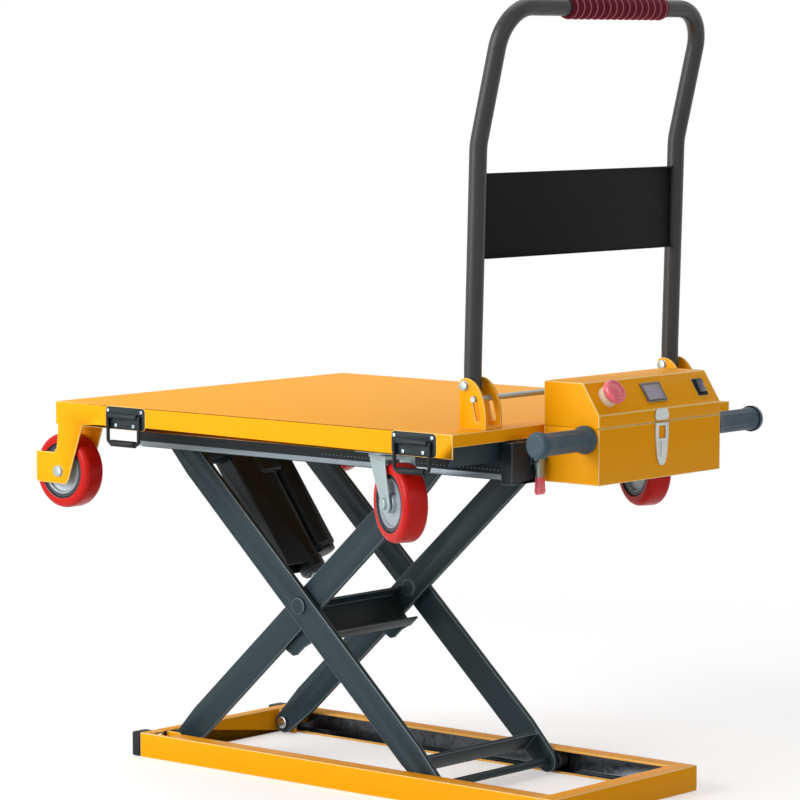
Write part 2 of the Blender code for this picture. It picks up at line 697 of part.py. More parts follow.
def make_actuator():
    """Build the electric actuator: gearbox with motor and tube, and its rod."""
    top, low, length, slope = actuator_points()
    body = frame("actuator_axis", (top.x, 0, top.y), slope)
    block = box(bmesh.new(), (-0.026, -GEARBOX_HALF, -GEARBOX_HALF), (0.052, GEARBOX_HALF, GEARBOX_HALF))
    housing = finish("actuator_housing", block, "motor_black", body)
    soften = housing.modifiers.new("rounded", "BEVEL")
    soften.width = 0.005
    soften.segments = 2
    tube = cylinder(bmesh.new(), "x", (0, 0), ACTUATOR_TUBE_RADIUS, 0.045, ACTUATOR_TUBE_END, 20)
    collar_end = ACTUATOR_TUBE_END - 0.004
    collar = cylinder(
        bmesh.new(), "x", (0, 0), COLLAR_RADIUS, collar_end - COLLAR_LENGTH, collar_end, 20
    )
    bridge = box(bmesh.new(), (-0.018, 0.015, -0.020), (0.028, MOTOR_OFFSET + 0.018, 0.020))
    motor_profile = [
        (0.0, 0.020), (MOTOR_RADIUS, 0.020), (MOTOR_RADIUS, 0.020 + MOTOR_LENGTH - 0.012),
        (MOTOR_RADIUS - 0.004, 0.020 + MOTOR_LENGTH - 0.008), (MOTOR_RADIUS - 0.004, 0.020 + MOTOR_LENGTH),
        (0.0, 0.020 + MOTOR_LENGTH),
    ]
    motor = turned(bmesh.new(), motor_profile, "x", (MOTOR_OFFSET, 0), 20)
    inner_y = GUARD_OUTER_Y + GUARD_SHEET
    inner_z = GUARD_HALF - GUARD_SHEET
    section = [
        (GUARD_OUTER_Y, -GUARD_HALF), (0.0, -GUARD_HALF), (0.0, -inner_z), (inner_y, -inner_z),
        (inner_y, inner_z), (0.0, inner_z), (0.0, GUARD_HALF), (GUARD_OUTER_Y, GUARD_HALF),
    ]
    guard = prism(bmesh.new(), section, "x", GUARD_X0, GUARD_X1)
    shapes = (
        ("actuator_tube", tube), ("actuator_collar", collar), ("actuator_bridge", bridge),
        ("actuator_motor", motor), ("actuator_guard", guard),
    )
    combine(housing, "UNION", *[tool(name, shape, body) for name, shape in shapes])
    eye = cylinder(bmesh.new(), "y", (0, 0), TOP_TUBE_RADIUS + PIN_GAP, -0.09, 0.09, 20)
    bore_end = ACTUATOR_TUBE_END + CUT
    bore = cylinder(
        bmesh.new(), "x", (0, 0), ACTUATOR_ROD_RADIUS + PIN_GAP, ACTUATOR_BORE_START, bore_end, 16
    )
    combine(housing, "DIFFERENCE", tool("actuator_eye", eye, body), tool("actuator_bore", bore, body))

    rod_body = frame("actuator_rod_axis", (low.x, 0, low.y), slope)
    rod_start = ACTUATOR_BORE_START + ACTUATOR_TRAVEL + 0.004 - length
    rod = cylinder(bmesh.new(), "x", (0, 0), ACTUATOR_ROD_RADIUS, rod_start, -0.004, 16)
    piston = finish("actuator_rod", rod, "steel", rod_body, True)
    head_half = CLEVIS_INNER_Y - 0.001
    head = cylinder(bmesh.new(), "y", (0, 0), ROD_HEAD_RADIUS, -head_half, head_half, 20)
    pin_end = CLEVIS_INNER_Y + CLEVIS_THICKNESS + 0.003
    pin = cylinder(bmesh.new(), "y", (0, 0), ROD_PIN_RADIUS, -pin_end, pin_end, 12)
    combine(piston, "UNION", tool("rod_head", head, rod_body), tool("rod_pin", pin, rod_body))


def make_top_frame():
    """Build the frame under the deck that the arms lift, with its stop blocks."""
    for side, sign in sides():
        outline = channel_outline(sign * BASE_HALF_WIDTH, -sign, TOP_FRAME_LOW, TOP_FRAME_HIGH)
        rail = finish("top_rail_" + side, prism(bmesh.new(), outline, "x", TOP_X0, TOP_X1), "black_paint")
        y0, y1 = across(sign, BASE_HALF_WIDTH - 0.001, BASE_HALF_WIDTH + SLIDE_MEMBER)
        low = TOP_FRAME_LOW + SLIDE_INSET
        high = TOP_FRAME_HIGH - SLIDE_INSET
        member = box(bmesh.new(), (SLIDE_X0, y0, low), (SLIDE_X1, y1, high))
        groove_low = (low + high - SLIDE_GROOVE) / 2
        groove_high = (low + high + SLIDE_GROOVE) / 2
        y2, y3 = across(sign, BASE_HALF_WIDTH + SLIDE_MEMBER / 2, BASE_HALF_WIDTH + SLIDE_MEMBER + CUT)
        groove = box(bmesh.new(), (SLIDE_X0 - CUT, y2, groove_low), (SLIDE_X1 + CUT, y3, groove_high))
        combine(rail, "UNION", tool("slide_member_" + side, member))
        combine(rail, "DIFFERENCE", tool("slide_groove_" + side, groove))

    inner = FLANGE_TIP_Y - GAP
    under = TOP_FRAME_HIGH - CHANNEL_WALL
    flange_x = PIVOT_X - 0.012
    left = [
        (TOP_X0, TOP_FRAME_LOW), (TOP_X0 + CHANNEL_WALL, TOP_FRAME_LOW), (TOP_X0 + CHANNEL_WALL, under),
        (flange_x, under), (flange_x, TOP_FRAME_HIGH), (TOP_X0, TOP_FRAME_HIGH),
    ]
    member = finish("top_pivot_member", prism(bmesh.new(), left, "y", -inner, inner), "black_paint")
    for side, sign in sides():
        y0, y1 = across(sign, OUTER_ARM_Y - SIDE_GAP - EAR_THICKNESS, OUTER_ARM_Y - SIDE_GAP)
        ear = [
            (TOP_X0 + WELD, TOP_FRAME_LOW + WELD), (PIVOT_X + 0.006, TOP_FRAME_LOW + WELD),
            (PIVOT_X + 0.014, TOP_PIVOT_Z), (PIVOT_X + 0.006, TOP_FRAME_HIGH - WELD),
            (TOP_X0 + WELD, TOP_FRAME_HIGH - WELD),
        ]
        y2, y3 = across(sign, OUTER_ARM_Y - SIDE_GAP - EAR_THICKNESS - 0.003, WEB_INNER_Y - GAP)
        pin = cylinder(bmesh.new(), "y", (PIVOT_X, TOP_PIVOT_Z), PIN_RADIUS, y2, y3)
        ear_tool = tool("top_ear_" + side, prism(bmesh.new(), ear, "y", y0, y1))
        combine(member, "UNION", ear_tool, tool("top_pin_" + side, pin))

    plate_x = TOP_X1 + GAP
    outer_x = TOP_X1 + END_PLATE_THICKNESS
    low = TOP_FRAME_LOW
    plate = box(bmesh.new(), (plate_x, -BASE_HALF_WIDTH, low), (outer_x, BASE_HALF_WIDTH, TOP_FRAME_HIGH))
    closer = finish("top_end_plate", plate, "black_paint")
    shapes = []
    for side, sign in sides():
        y0, y1 = across(sign, BASE_HALF_WIDTH + GAP, BASE_HALF_WIDTH + GAP + STOP_BLOCK_WIDTH)
        block_top = (outer_x, y1, TOP_FRAME_HIGH + STOP_BLOCK_RISE)
        block = box(bmesh.new(), (TOP_X1 - STOP_BLOCK_LENGTH, y0, low), block_top)
        y2, y3 = across(sign, BASE_HALF_WIDTH - 0.004, BASE_HALF_WIDTH + 0.004)
        strap = box(bmesh.new(), (plate_x, y2, low), (outer_x, y3, TOP_FRAME_HIGH))
        shapes += [tool("stop_strap_" + side, strap), tool("stop_block_" + side, block)]
    width = MOUNT_PLATE_HALF_WIDTH
    hanger = box(bmesh.new(), (outer_x - WELD, -width, BOX_Z0), (BOX_X0 - GAP, width, MOUNT_PLATE_TOP))
    combine(closer, "UNION", *shapes, tool("box_hanger", hanger))
    make_slide_lock(closer)


def make_slide_lock(closer):
    """Add the slide lock's eyes to the end plate, and hang its lever between them."""
    face = TOP_X1 + END_PLATE_THICKNESS
    axis_x = face + SLIDE_LOCK_STANDOFF
    axis_z = TOP_FRAME_HIGH - 0.004
    half = SLIDE_LOCK_WIDTH / 2
    eyes = []
    for number, y in enumerate((SLIDE_LOCK_Y - half, SLIDE_LOCK_Y + half - SLIDE_LOCK_EYE)):
        outline = circle((axis_x, axis_z), SLIDE_LOCK_EYE_RADIUS, 9, -pi / 2, pi)
        outline += [(face - WELD, axis_z + 0.009), (face - WELD, axis_z - 0.009)]
        eye = prism(bmesh.new(), outline, "y", y, y + SLIDE_LOCK_EYE)
        eyes.append(tool("slide_lock_eye_%d" % number, eye))
    combine(closer, "UNION", *eyes)
    y0 = SLIDE_LOCK_Y - half - CUT
    y1 = SLIDE_LOCK_Y + half + CUT
    hole = cylinder(bmesh.new(), "y", (axis_x, axis_z), SLIDE_LOCK_PIN + PIN_GAP, y0, y1, 10)
    combine(closer, "DIFFERENCE", tool("slide_lock_hole", hole))

    body = frame("slide_lock_axis", (axis_x, SLIDE_LOCK_Y, axis_z))
    arm_half = half - SLIDE_LOCK_EYE - RUN_GAP
    tip = -SLIDE_LOCK_LENGTH
    outline = [
        (-0.0035, 0.0045), (0.0035, 0.0045), (0.0045, -0.010), (0.003, -0.020),
        (0.0045, tip + 0.020), (0.006, tip + 0.004), (0.003, tip), (-0.003, tip),
        (-0.0050, tip + 0.004), (-0.004, tip + 0.020), (-0.002, -0.020), (-0.0045, -0.010),
    ]
    lever = finish("slide_lock_lever", prism(bmesh.new(), outline, "y", -arm_half, arm_half), "zinc", body)
    pin = cylinder(bmesh.new(), "y", (0, 0), SLIDE_LOCK_PIN, -half - 0.001, half + 0.001, 10)
    combine(lever, "UNION", tool("slide_lock_pin", pin, body))


def make_slides():
    """Build the two slide members under the deck, each with its end closing plate."""
    top = DECK_UNDER - GAP
    for side, sign in sides():
        web = sign * DECK_SLIDE_Y
        skin = sign * (DECK_SLIDE_Y + DECK_SLIDE_WALL)
        tip = sign * (DECK_SLIDE_Y + DECK_SLIDE_FLANGE)
        outline = [
            (web, DECK_SLIDE_LOW_Z), (skin, DECK_SLIDE_LOW_Z), (skin, top - DECK_SLIDE_WALL),
            (tip, top - DECK_SLIDE_WALL), (tip, top), (web, top),
        ]
        section = prism(bmesh.new(), outline, "x", SLIDE_X0, SLIDE_X1)
        member = finish("deck_slide_" + side, section, "rail_black")
        y0, y1 = across(sign, DECK_SLIDE_Y - SLIDE_TONGUE, DECK_SLIDE_Y + WELD)
        groove_z = (TOP_FRAME_LOW + TOP_FRAME_HIGH) / 2
        rib = SLIDE_GROOVE / 2 - RUN_GAP
        start = SLIDE_X0 + TONGUE_INSET
        finish_x = SLIDE_X1 - TONGUE_INSET
        tongue = box(bmesh.new(), (start, y0, groove_z - rib), (finish_x, y1, groove_z + rib))
        y2, y3 = across(sign, DECK_SLIDE_Y + DECK_SLIDE_WALL - WELD, DECK_HALF_WIDTH - SKIRT_LIP - GAP)
        end = DECK_X1 - SHEET - CLOSING_PLATE_INSET
        plate = box(bmesh.new(), (end - SHEET, y2, DECK_TOP - CLOSING_PLATE_DROP), (end, y3, top))
        combine(member, "UNION", tool("slide_tongue_" + side, tongue), tool("closing_plate_" + side, plate))


def fork_plate(right_top):
    """Outline a rigid wheel's side plate in (x, z), with its tongue past the deck's end."""
    low = AXLE_Z - FORK_BELOW_AXLE
    tongue = AXLE_Z + 0.031
    x = DECK_X0
    return [
        (x + 0.0005, right_top), (x + 0.0005, AXLE_Z + 0.090), (x + 0.005, AXLE_Z + 0.083),
        (x + 0.004, AXLE_Z + 0.060), (x + 0.001, tongue + 0.008), (x - 0.004, tongue),
        (x - 0.047, tongue), (x - 0.047, low + 0.004), (x - 0.043, low), (x + 0.023, low),
        (x + 0.028, low + 0.008), (x + 0.060, SKIRT_LOW - 0.004), (x + 0.064, right_top),
    ]


def make_deck():
    """Build the deck tray with its skirts, forks, rigid axles and chest handle plates."""
    tray = finish(
        "deck_tray",
        box(bmesh.new(), (DECK_X0, -DECK_HALF_WIDTH, SKIRT_LOW), (DECK_X1, DECK_HALF_WIDTH, DECK_TOP)),
        "yellow_paint",
    )
    y = DECK_HALF_WIDTH
    x0 = DECK_X0 + SHEET
    x1 = DECK_X1 - SHEET
    hollow = box(bmesh.new(), (x0, SHEET - y, SKIRT_LOW + SHEET), (x1, y - SHEET, DECK_UNDER))
    mouth = box(bmesh.new(), (x0, SKIRT_LIP - y, SKIRT_LOW - CUT), (x1, y - SKIRT_LIP, SKIRT_LOW + CUT))
    cutters = [tool("tray_hollow", hollow), tool("tray_mouth", mouth)]
    for name, place in (("far", DECK_X0), ("handle", DECK_X1)):
        corner = (place + CUT, y - SHEET, DECK_TOP - END_SKIRT)
        step = box(bmesh.new(), (place - CUT, SHEET - y, SKIRT_LOW - CUT), corner)
        cutters.append(tool("end_skirt_%s_step" % name, step))
    reach = WHEEL_RADIUS + WHEEL_ROOM
    space_top = SKIRT_LOW + 2 * SHEET
    for side, sign in sides():
        y0, y1 = across(sign, FORK_INNER_Y - WHEEL_ROOM, FORK_OUTER_Y)
        space = box(
            bmesh.new(), (FIXED_AXLE_X - reach, y0, SKIRT_LOW - CUT), (FIXED_AXLE_X + reach, y1, space_top)
        )
        cutters.append(tool("wheel_gap_" + side, space))
    combine(tray, "DIFFERENCE", *cutters)
    shapes = []
    for side, sign in sides():
        y0, y1 = across(sign, FORK_OUTER_Y, DECK_HALF_WIDTH)
        outer = prism(bmesh.new(), fork_plate(DECK_TOP - END_SKIRT), "y", y0, y1)
        shapes.append(tool("fork_outer_" + side, outer))
        y0, y1 = across(sign, FORK_INNER_Y - FORK_WALL, FORK_INNER_Y)
        inner = prism(bmesh.new(), fork_plate(DECK_UNDER + WELD), "y", y0, y1)
        shapes.append(tool("fork_inner_" + side, inner))
        axle = make_axle(bmesh.new(), FIXED_AXLE_X, AXLE_Z, FORK_INNER_Y - FORK_WALL, DECK_HALF_WIDTH, sign)
        shapes.append(tool("fixed_axle_" + side, axle))
    shapes += chest_plate_tools()
    combine(tray, "UNION", *shapes)
    make_caster_mounts()


def chest_plate_tools():
    """List the plates, knuckles and rivets that hold the chest handles on the skirts."""
    half = CHEST_PLATE_LENGTH / 2
    back = DECK_HALF_WIDTH - 0.001
    face = DECK_HALF_WIDTH + CHEST_PLATE_THICKNESS
    low = DECK_TOP - CHEST_PLATE_HEIGHT - 0.001
    high = DECK_TOP - 0.001
    corner = CHEST_PLATE_CORNER
    spine = BAIL_HALF - BAIL_RADIUS - RUN_GAP
    shapes = []
    for side, sign in sides():
        axis_y = sign * (face + CHEST_KNUCKLE_RADIUS - 0.001)
        for number, x in enumerate(CHEST_HANDLE_XS, 1):
            outline = []
            for cx, cz, start in (
                (half - corner, high - corner, 0.0), (-half + corner, high - corner, pi / 2),
                (-half + corner, low + corner, pi), (half - corner, low + corner, 1.5 * pi),
            ):
                outline += circle((x + cx, cz), corner, 4, start, pi / 2)
            y0, y1 = across(sign, back, face)
            plate = prism(bmesh.new(), outline, "y", y0, y1)
            shapes.append(tool("chest_plate_%s_%d" % (side, number), plate))
            knuckle = cylinder(
                bmesh.new(), "x", (axis_y, CHEST_KNUCKLE_Z), CHEST_KNUCKLE_RADIUS, x - spine, x + spine, 12
            )
            shapes.append(tool("chest_knuckle_%s_%d" % (side, number), knuckle))
            rivets = bmesh.new()
            y2, y3 = across(sign, face - 0.001, face + RIVET_HEIGHT)
            upper = (half - RIVET_INSET, high - RIVET_INSET)
            for rx, rz in (upper, (CHEST_LOW_RIVET_X, low + RIVET_INSET)):
                cylinder(rivets, "y", (x - rx, rz), RIVET_RADIUS, y2, y3, 10)
                cylinder(rivets, "y", (x + rx, rz), RIVET_RADIUS, y2, y3, 10)
            shapes.append(tool("chest_rivets_%s_%d" % (side, number), rivets))
    return shapes


def make_caster_mounts():
    """Build the beams under the deck that the swivel casters bolt to, with plate and race."""
    low = CASTER_BEAM_LOW
    top = DECK_UNDER - GAP
    section = [
        (BEAM_X0, low), (BEAM_X1, low), (BEAM_X1, top), (BEAM_X1 - SHEET, top),
        (BEAM_X1 - SHEET, low + SHEET), (BEAM_X0 + SHEET, low + SHEET), (BEAM_X0 + SHEET, top),
        (BEAM_X0, top),
    ]
    for side, sign in sides():
        y0, y1 = across(sign, CASTER_BEAM_Y0, DECK_HALF_WIDTH - SKIRT_LIP - GAP)
        mount = finish("caster_mount_" + side, prism(bmesh.new(), section, "y", y0, y1), "dark_paint")
        y = sign * CASTER_Y
        plate = box(
            bmesh.new(), (CASTER_X - CASTER_PLATE_HALF_X, y - CASTER_PLATE_HALF_Y, CASTER_PLATE_LOW),
            (CASTER_X + CASTER_PLATE_HALF_X, y + CASTER_PLATE_HALF_Y, low + WELD),
        )
        race_low = CASTER_PLATE_LOW - CASTER_RACE
        race = cylinder(
            bmesh.new(), "z", (CASTER_X, y), CASTER_RACE_RADIUS, race_low, CASTER_PLATE_LOW + WELD, 24
        )
        combine(mount, "UNION", tool("caster_plate_" + side, plate), tool("caster_race_" + side, race))


def make_wheel(place, side, body):
    """Build a wheel's tyre and hub about the body's Y axis."""
    half = WHEEL_WIDTH / 2
    seat = RIM_RADIUS + GAP
    ring = half - 0.0025
    flank = WHEEL_RADIUS - TYRE_SHOULDER
    tyre = [(seat, -ring), (seat + 0.003, -half), (flank - 0.002, -half)]
    tyre += circle((flank, TYRE_SHOULDER - half), TYRE_SHOULDER, 3, -pi / 2, pi / 2)
    tyre += circle((flank, half - TYRE_SHOULDER), TYRE_SHOULDER, 3, 0, pi / 2)
    tyre += [(flank - 0.002, half), (seat + 0.003, half), (seat, ring)]
    finish("%s_tyre_%s" % (place, side), turned(bmesh.new(), tyre, "y", (0, 0), 20), "red_tyre", body, True)
    bore = AXLE_RADIUS + PIN_GAP
    dish = half - 0.007
    hub = [
        (bore, -half), (0.015, -half), (0.017, -dish), (0.034, -dish), (0.037, -ring), (RIM_RADIUS, -ring),
        (RIM_RADIUS, ring), (0.037, ring), (0.034, dish), (0.017, dish), (0.015, half), (bore, half),
    ]
    finish("%s_hub_%s" % (place, side), turned(bmesh.new(), hub, "y", (0, 0), 20), "grey_hub", body, True)


def make_axle(bm, x, z, y_inner, y_outer, sign):
    """Add an axle bolt with a nut on its inner plate and a head on its outer one."""
    profile = [
        (0.0, sign * (y_inner - 0.006)), (BOLT_HEAD_RADIUS, sign * (y_inner - 0.006)),
        (BOLT_HEAD_RADIUS, sign * (y_inner + 0.001)), (AXLE_RADIUS, sign * (y_inner + 0.001)),
        (AXLE_RADIUS, sign * (y_outer - 0.001)), (BOLT_HEAD_RADIUS, sign * (y_outer - 0.001)),
        (BOLT_HEAD_RADIUS, sign * (y_outer + 0.005)), (0.0, sign * (y_outer + 0.005)),
    ]
    return turned(bm, profile, "y", (x, z), 12)


def make_fixed_wheels():
    """Build the two rigid wheels at the far end."""
    for side, sign in sides():
        body = frame("fixed_wheel_%s_axis" % side, (FIXED_AXLE_X, sign * FIXED_WHEEL_Y, AXLE_Z))
        make_wheel("fixed", side, body)


def make_casters():
    """Build the two swivel forks, each with its axle, and their wheels."""
    axle_z = AXLE_Z - CROWN_TOP
    leg_y = LEG_INNER_Y + CASTER_LEG
    for side, sign in sides():
        place = (CASTER_X, sign * CASTER_Y, CROWN_TOP)
        swivel = frame("caster_swivel_%s_axis" % side, place, 0.0, CASTER_REST)
        crown = box(bmesh.new(), (-CROWN_HALF, -leg_y, -CASTER_CROWN), (CROWN_HALF + 0.006, leg_y, 0.0))
        fork = finish("caster_fork_" + side, crown, "zinc", swivel)
        leg = [(-CROWN_HALF + 0.004, 0.0), (-CROWN_HALF + 0.006, -0.014)]
        leg += circle((CASTER_TRAIL, axle_z), 0.015, 9, pi * 1.05, pi * 0.90)
        leg += [(CROWN_HALF + 0.006, -0.014), (CROWN_HALF + 0.006, 0.0)]
        dome = cylinder(bmesh.new(), "z", (0, 0), CASTER_RACE_RADIUS - 0.002, -CASTER_CROWN, 0.0, 24)
        shapes = [tool("caster_dome_" + side, dome, swivel)]
        for end in (-1, 1):
            y0, y1 = across(end, LEG_INNER_Y, leg_y)
            blade = prism(bmesh.new(), leg, "y", y0, y1)
            shapes.append(tool("caster_leg_%s_%d" % (side, end + 1), blade, swivel))
        axle = make_axle(bmesh.new(), CASTER_TRAIL, axle_z, -leg_y, leg_y, 1)
        combine(fork, "UNION", *shapes, tool("caster_axle_" + side, axle, swivel))
        trail = Vector((cos(CASTER_REST), sin(CASTER_REST))) * CASTER_TRAIL
        place = (CASTER_X + trail.x, sign * CASTER_Y + trail.y, AXLE_Z)
        body = frame("caster_wheel_%s_axis" % side, place, 0.0, CASTER_REST)
        make_wheel("caster", side, body)


def make_chest_handles():
    """Build the bails of the four folding handles on the long skirts."""
    axis_y = DECK_HALF_WIDTH + CHEST_PLATE_THICKNESS + CHEST_KNUCKLE_RADIUS - 0.001
    reach = BAIL_HALF
    for side, sign in sides():
        for number, x in enumerate(CHEST_HANDLE_XS, 1):
            body = frame("chest_bail_%s_%d_axis" % (side, number), (x, sign * axis_y, CHEST_KNUCKLE_Z))
            corners = [
                (-reach, 0, BAIL_END), (-reach, 0, -BAIL_DROP), (reach, 0, -BAIL_DROP), (reach, 0, BAIL_END)
            ]
            path = rounded_path(corners, 0.006, 4)
            name = "chest_bail_%s_%d" % (side, number)
            bail = finish(name, swept(bmesh.new(), path, BAIL_RADIUS, 0.0, 8), "black_plastic", body, True)
            sleeve = cylinder(
                bmesh.new(), "x", (0, -BAIL_DROP), BAIL_GRIP_RADIUS, 0.008 - reach, reach - 0.008, 12
            )
            combine(bail, "UNION", tool("bail_sleeve_%s_%d" % (side, number), sleeve, body))


def handle_path():
    """List the push handle's centre line, from the near foot over the top to the far one."""
    foot = HANDLE_PIVOT_Z - HANDLE_FOOT
    bend_x = HANDLE_X + HANDLE_LOWER_LEAN
    top_x = HANDLE_X + HANDLE_TOP_LEAN
    near = [
        (HANDLE_X, -HANDLE_Y, foot), (HANDLE_X, -HANDLE_Y, HANDLE_PIVOT_Z + 0.03),
        (bend_x, -HANDLE_Y, HANDLE_BEND_Z), (top_x, -HANDLE_Y, HANDLE_TOP_Z),
    ]
    far = [(x, -y, z) for x, y, z in reversed(near)]
    lower = rounded_path(near, 0.10, 2)[:-1]
    upper = rounded_path([near[2], near[3], far[0], far[1]], CORNER_RADIUS, 5)[1:-1]
    mirrored = [Vector((p.x, -p.y, p.z)) for p in reversed(lower)]
    return lower + upper + mirrored


def handle_x_at(z):
    """Find how far the handle leans at a height on its lower part."""
    low = HANDLE_PIVOT_Z + 0.03
    return HANDLE_X + HANDLE_LOWER_LEAN * (z - low) / (HANDLE_BEND_Z - low)


def make_push_handle():
    """Build the folding push handle: tube, panel, grip, brackets and lock rod."""
    body = frame("push_handle_axis", (HANDLE_X, 0, HANDLE_PIVOT_Z))
    shift = Vector((HANDLE_X, 0, HANDLE_PIVOT_Z))
    path = [point - shift for point in handle_path()]
    pipe = swept(bmesh.new(), path, TUBE_RADIUS, TUBE_RADIUS - TUBE_WALL, 12)
    tube = finish("push_handle_tube", pipe, "dark_tube", body, True)
    holes = cylinder(bmesh.new(), "y", (0, 0), PIVOT_BOLT_RADIUS + PIN_GAP, -0.4, 0.4, 12)
    combine(tube, "DIFFERENCE", tool("handle_bolt_holes", holes, body))

    z0 = PANEL_Z0 - HANDLE_PIVOT_Z
    z1 = PANEL_Z1 - HANDLE_PIVOT_Z
    x = handle_x_at((PANEL_Z0 + PANEL_Z1) / 2) - HANDLE_X
    t = PANEL_THICKNESS
    section = [
        (x, z0), (x + PANEL_LIP, z0), (x + PANEL_LIP, z0 + t), (x + t, z0 + t),
        (x + t, z1 - t), (x + PANEL_LIP, z1 - t), (x + PANEL_LIP, z1), (x, z1),
    ]
    half = HANDLE_Y - TUBE_RADIUS - GAP
    finish("handle_panel", prism(bmesh.new(), section, "y", -half, half), "black_paint", body)

    grip_centre = (HANDLE_TOP_LEAN, HANDLE_TOP_Z - HANDLE_PIVOT_Z)
    bore = TUBE_RADIUS + GAP
    start = HANDLE_GRIP_SHIFT - HANDLE_GRIP_LENGTH / 2
    end = start + HANDLE_GRIP_LENGTH
    skin = HANDLE_GRIP_RADIUS
    profile = [(bore, start), (skin - 0.002, start), (skin, start + 0.004)]
    place = start + GRIP_RIB_PITCH
    while place < end - 0.006:
        profile += [(skin, place - 0.002), (skin - 0.0015, place), (skin, place + 0.002)]
        place += GRIP_RIB_PITCH
    profile += [(skin, end - 0.004), (skin - 0.002, end), (bore, end)]
    finish("handle_grip", turned(bmesh.new(), profile, "y", grip_centre, 16), "maroon_foam", body, True)

    make_handle_brackets()


def make_handle_brackets():
    """Build the quarter-round brackets with their pivot bolts, and the sliding lock rod."""
    base = DECK_TOP + GAP
    back = HANDLE_X - BRACKET_BACK
    nose = back + BRACKET_LENGTH
    top = HANDLE_PIVOT_Z + BRACKET_TOP
    shoulder = base + BRACKET_SHOULDER
    outline = [(back, base), (nose, base)]
    outline += [
        (back + 0.012 + (BRACKET_LENGTH - 0.012) * cos(a), shoulder + (top - shoulder) * sin(a))
        for a in (pi / 2 * k / 8 for k in range(9))
    ]
    outline += [(back + 0.003, top - 0.002), (back, top - 0.006)]
    pivot = Vector((HANDLE_X, HANDLE_PIVOT_Z))
    high = pivot + SLOT_TOP
    low = pivot + SLOT_BOTTOM
    along = low - high
    heading = atan2(along.y, along.x)
    radius = LOCK_ROD_RADIUS + RUN_GAP
    slot = circle(low, radius, 7, heading - pi / 2, pi) + circle(high, radius, 7, heading + pi / 2, pi)
    inside = TUBE_RADIUS + SIDE_GAP
    outside = inside + BRACKET_THICKNESS
    head = outside + 0.005
    for side, sign in sides():
        centre = sign * HANDLE_Y
        foot = box(
            bmesh.new(), (back, centre - outside, base), (nose, centre + outside, base + BRACKET_THICKNESS)
        )
        bracket = finish("handle_bracket_" + side, foot, "yellow_paint")
        shapes = []
        for number, (y0, y1) in enumerate(((-outside, -inside), (inside, outside))):
            plate = prism(bmesh.new(), outline, "y", centre + y0, centre + y1)
            shapes.append(tool("bracket_plate_%s_%d" % (side, number), plate))
        profile = [
            (0.0, -head), (PIVOT_HEAD_RADIUS, -head), (PIVOT_HEAD_RADIUS, 0.001 - outside),
            (PIVOT_BOLT_RADIUS, 0.001 - outside), (PIVOT_BOLT_RADIUS, outside - 0.001),
            (PIVOT_HEAD_RADIUS, outside - 0.001), (PIVOT_HEAD_RADIUS, head), (0.0, head),
        ]
        profile = [(r, centre + along_y) for r, along_y in profile]
        bolt = turned(bmesh.new(), profile, "y", (HANDLE_X, HANDLE_PIVOT_Z), 12)
        combine(bracket, "UNION", *shapes, tool("pivot_bolt_" + side, bolt))
        cut = prism(bmesh.new(), slot, "y", centre - outside - 0.01, centre + outside + 0.01)
        combine(bracket, "DIFFERENCE", tool("lock_slot_" + side, cut))

    body = frame("lock_rod_axis", (high.x, 0, high.y))
    end = HANDLE_Y + outside + 0.004
    rod = cylinder(bmesh.new(), "y", (0, 0), LOCK_ROD_RADIUS, -end, end, 14)
    finish("handle_lock_rod", rod, "zinc", body, True)


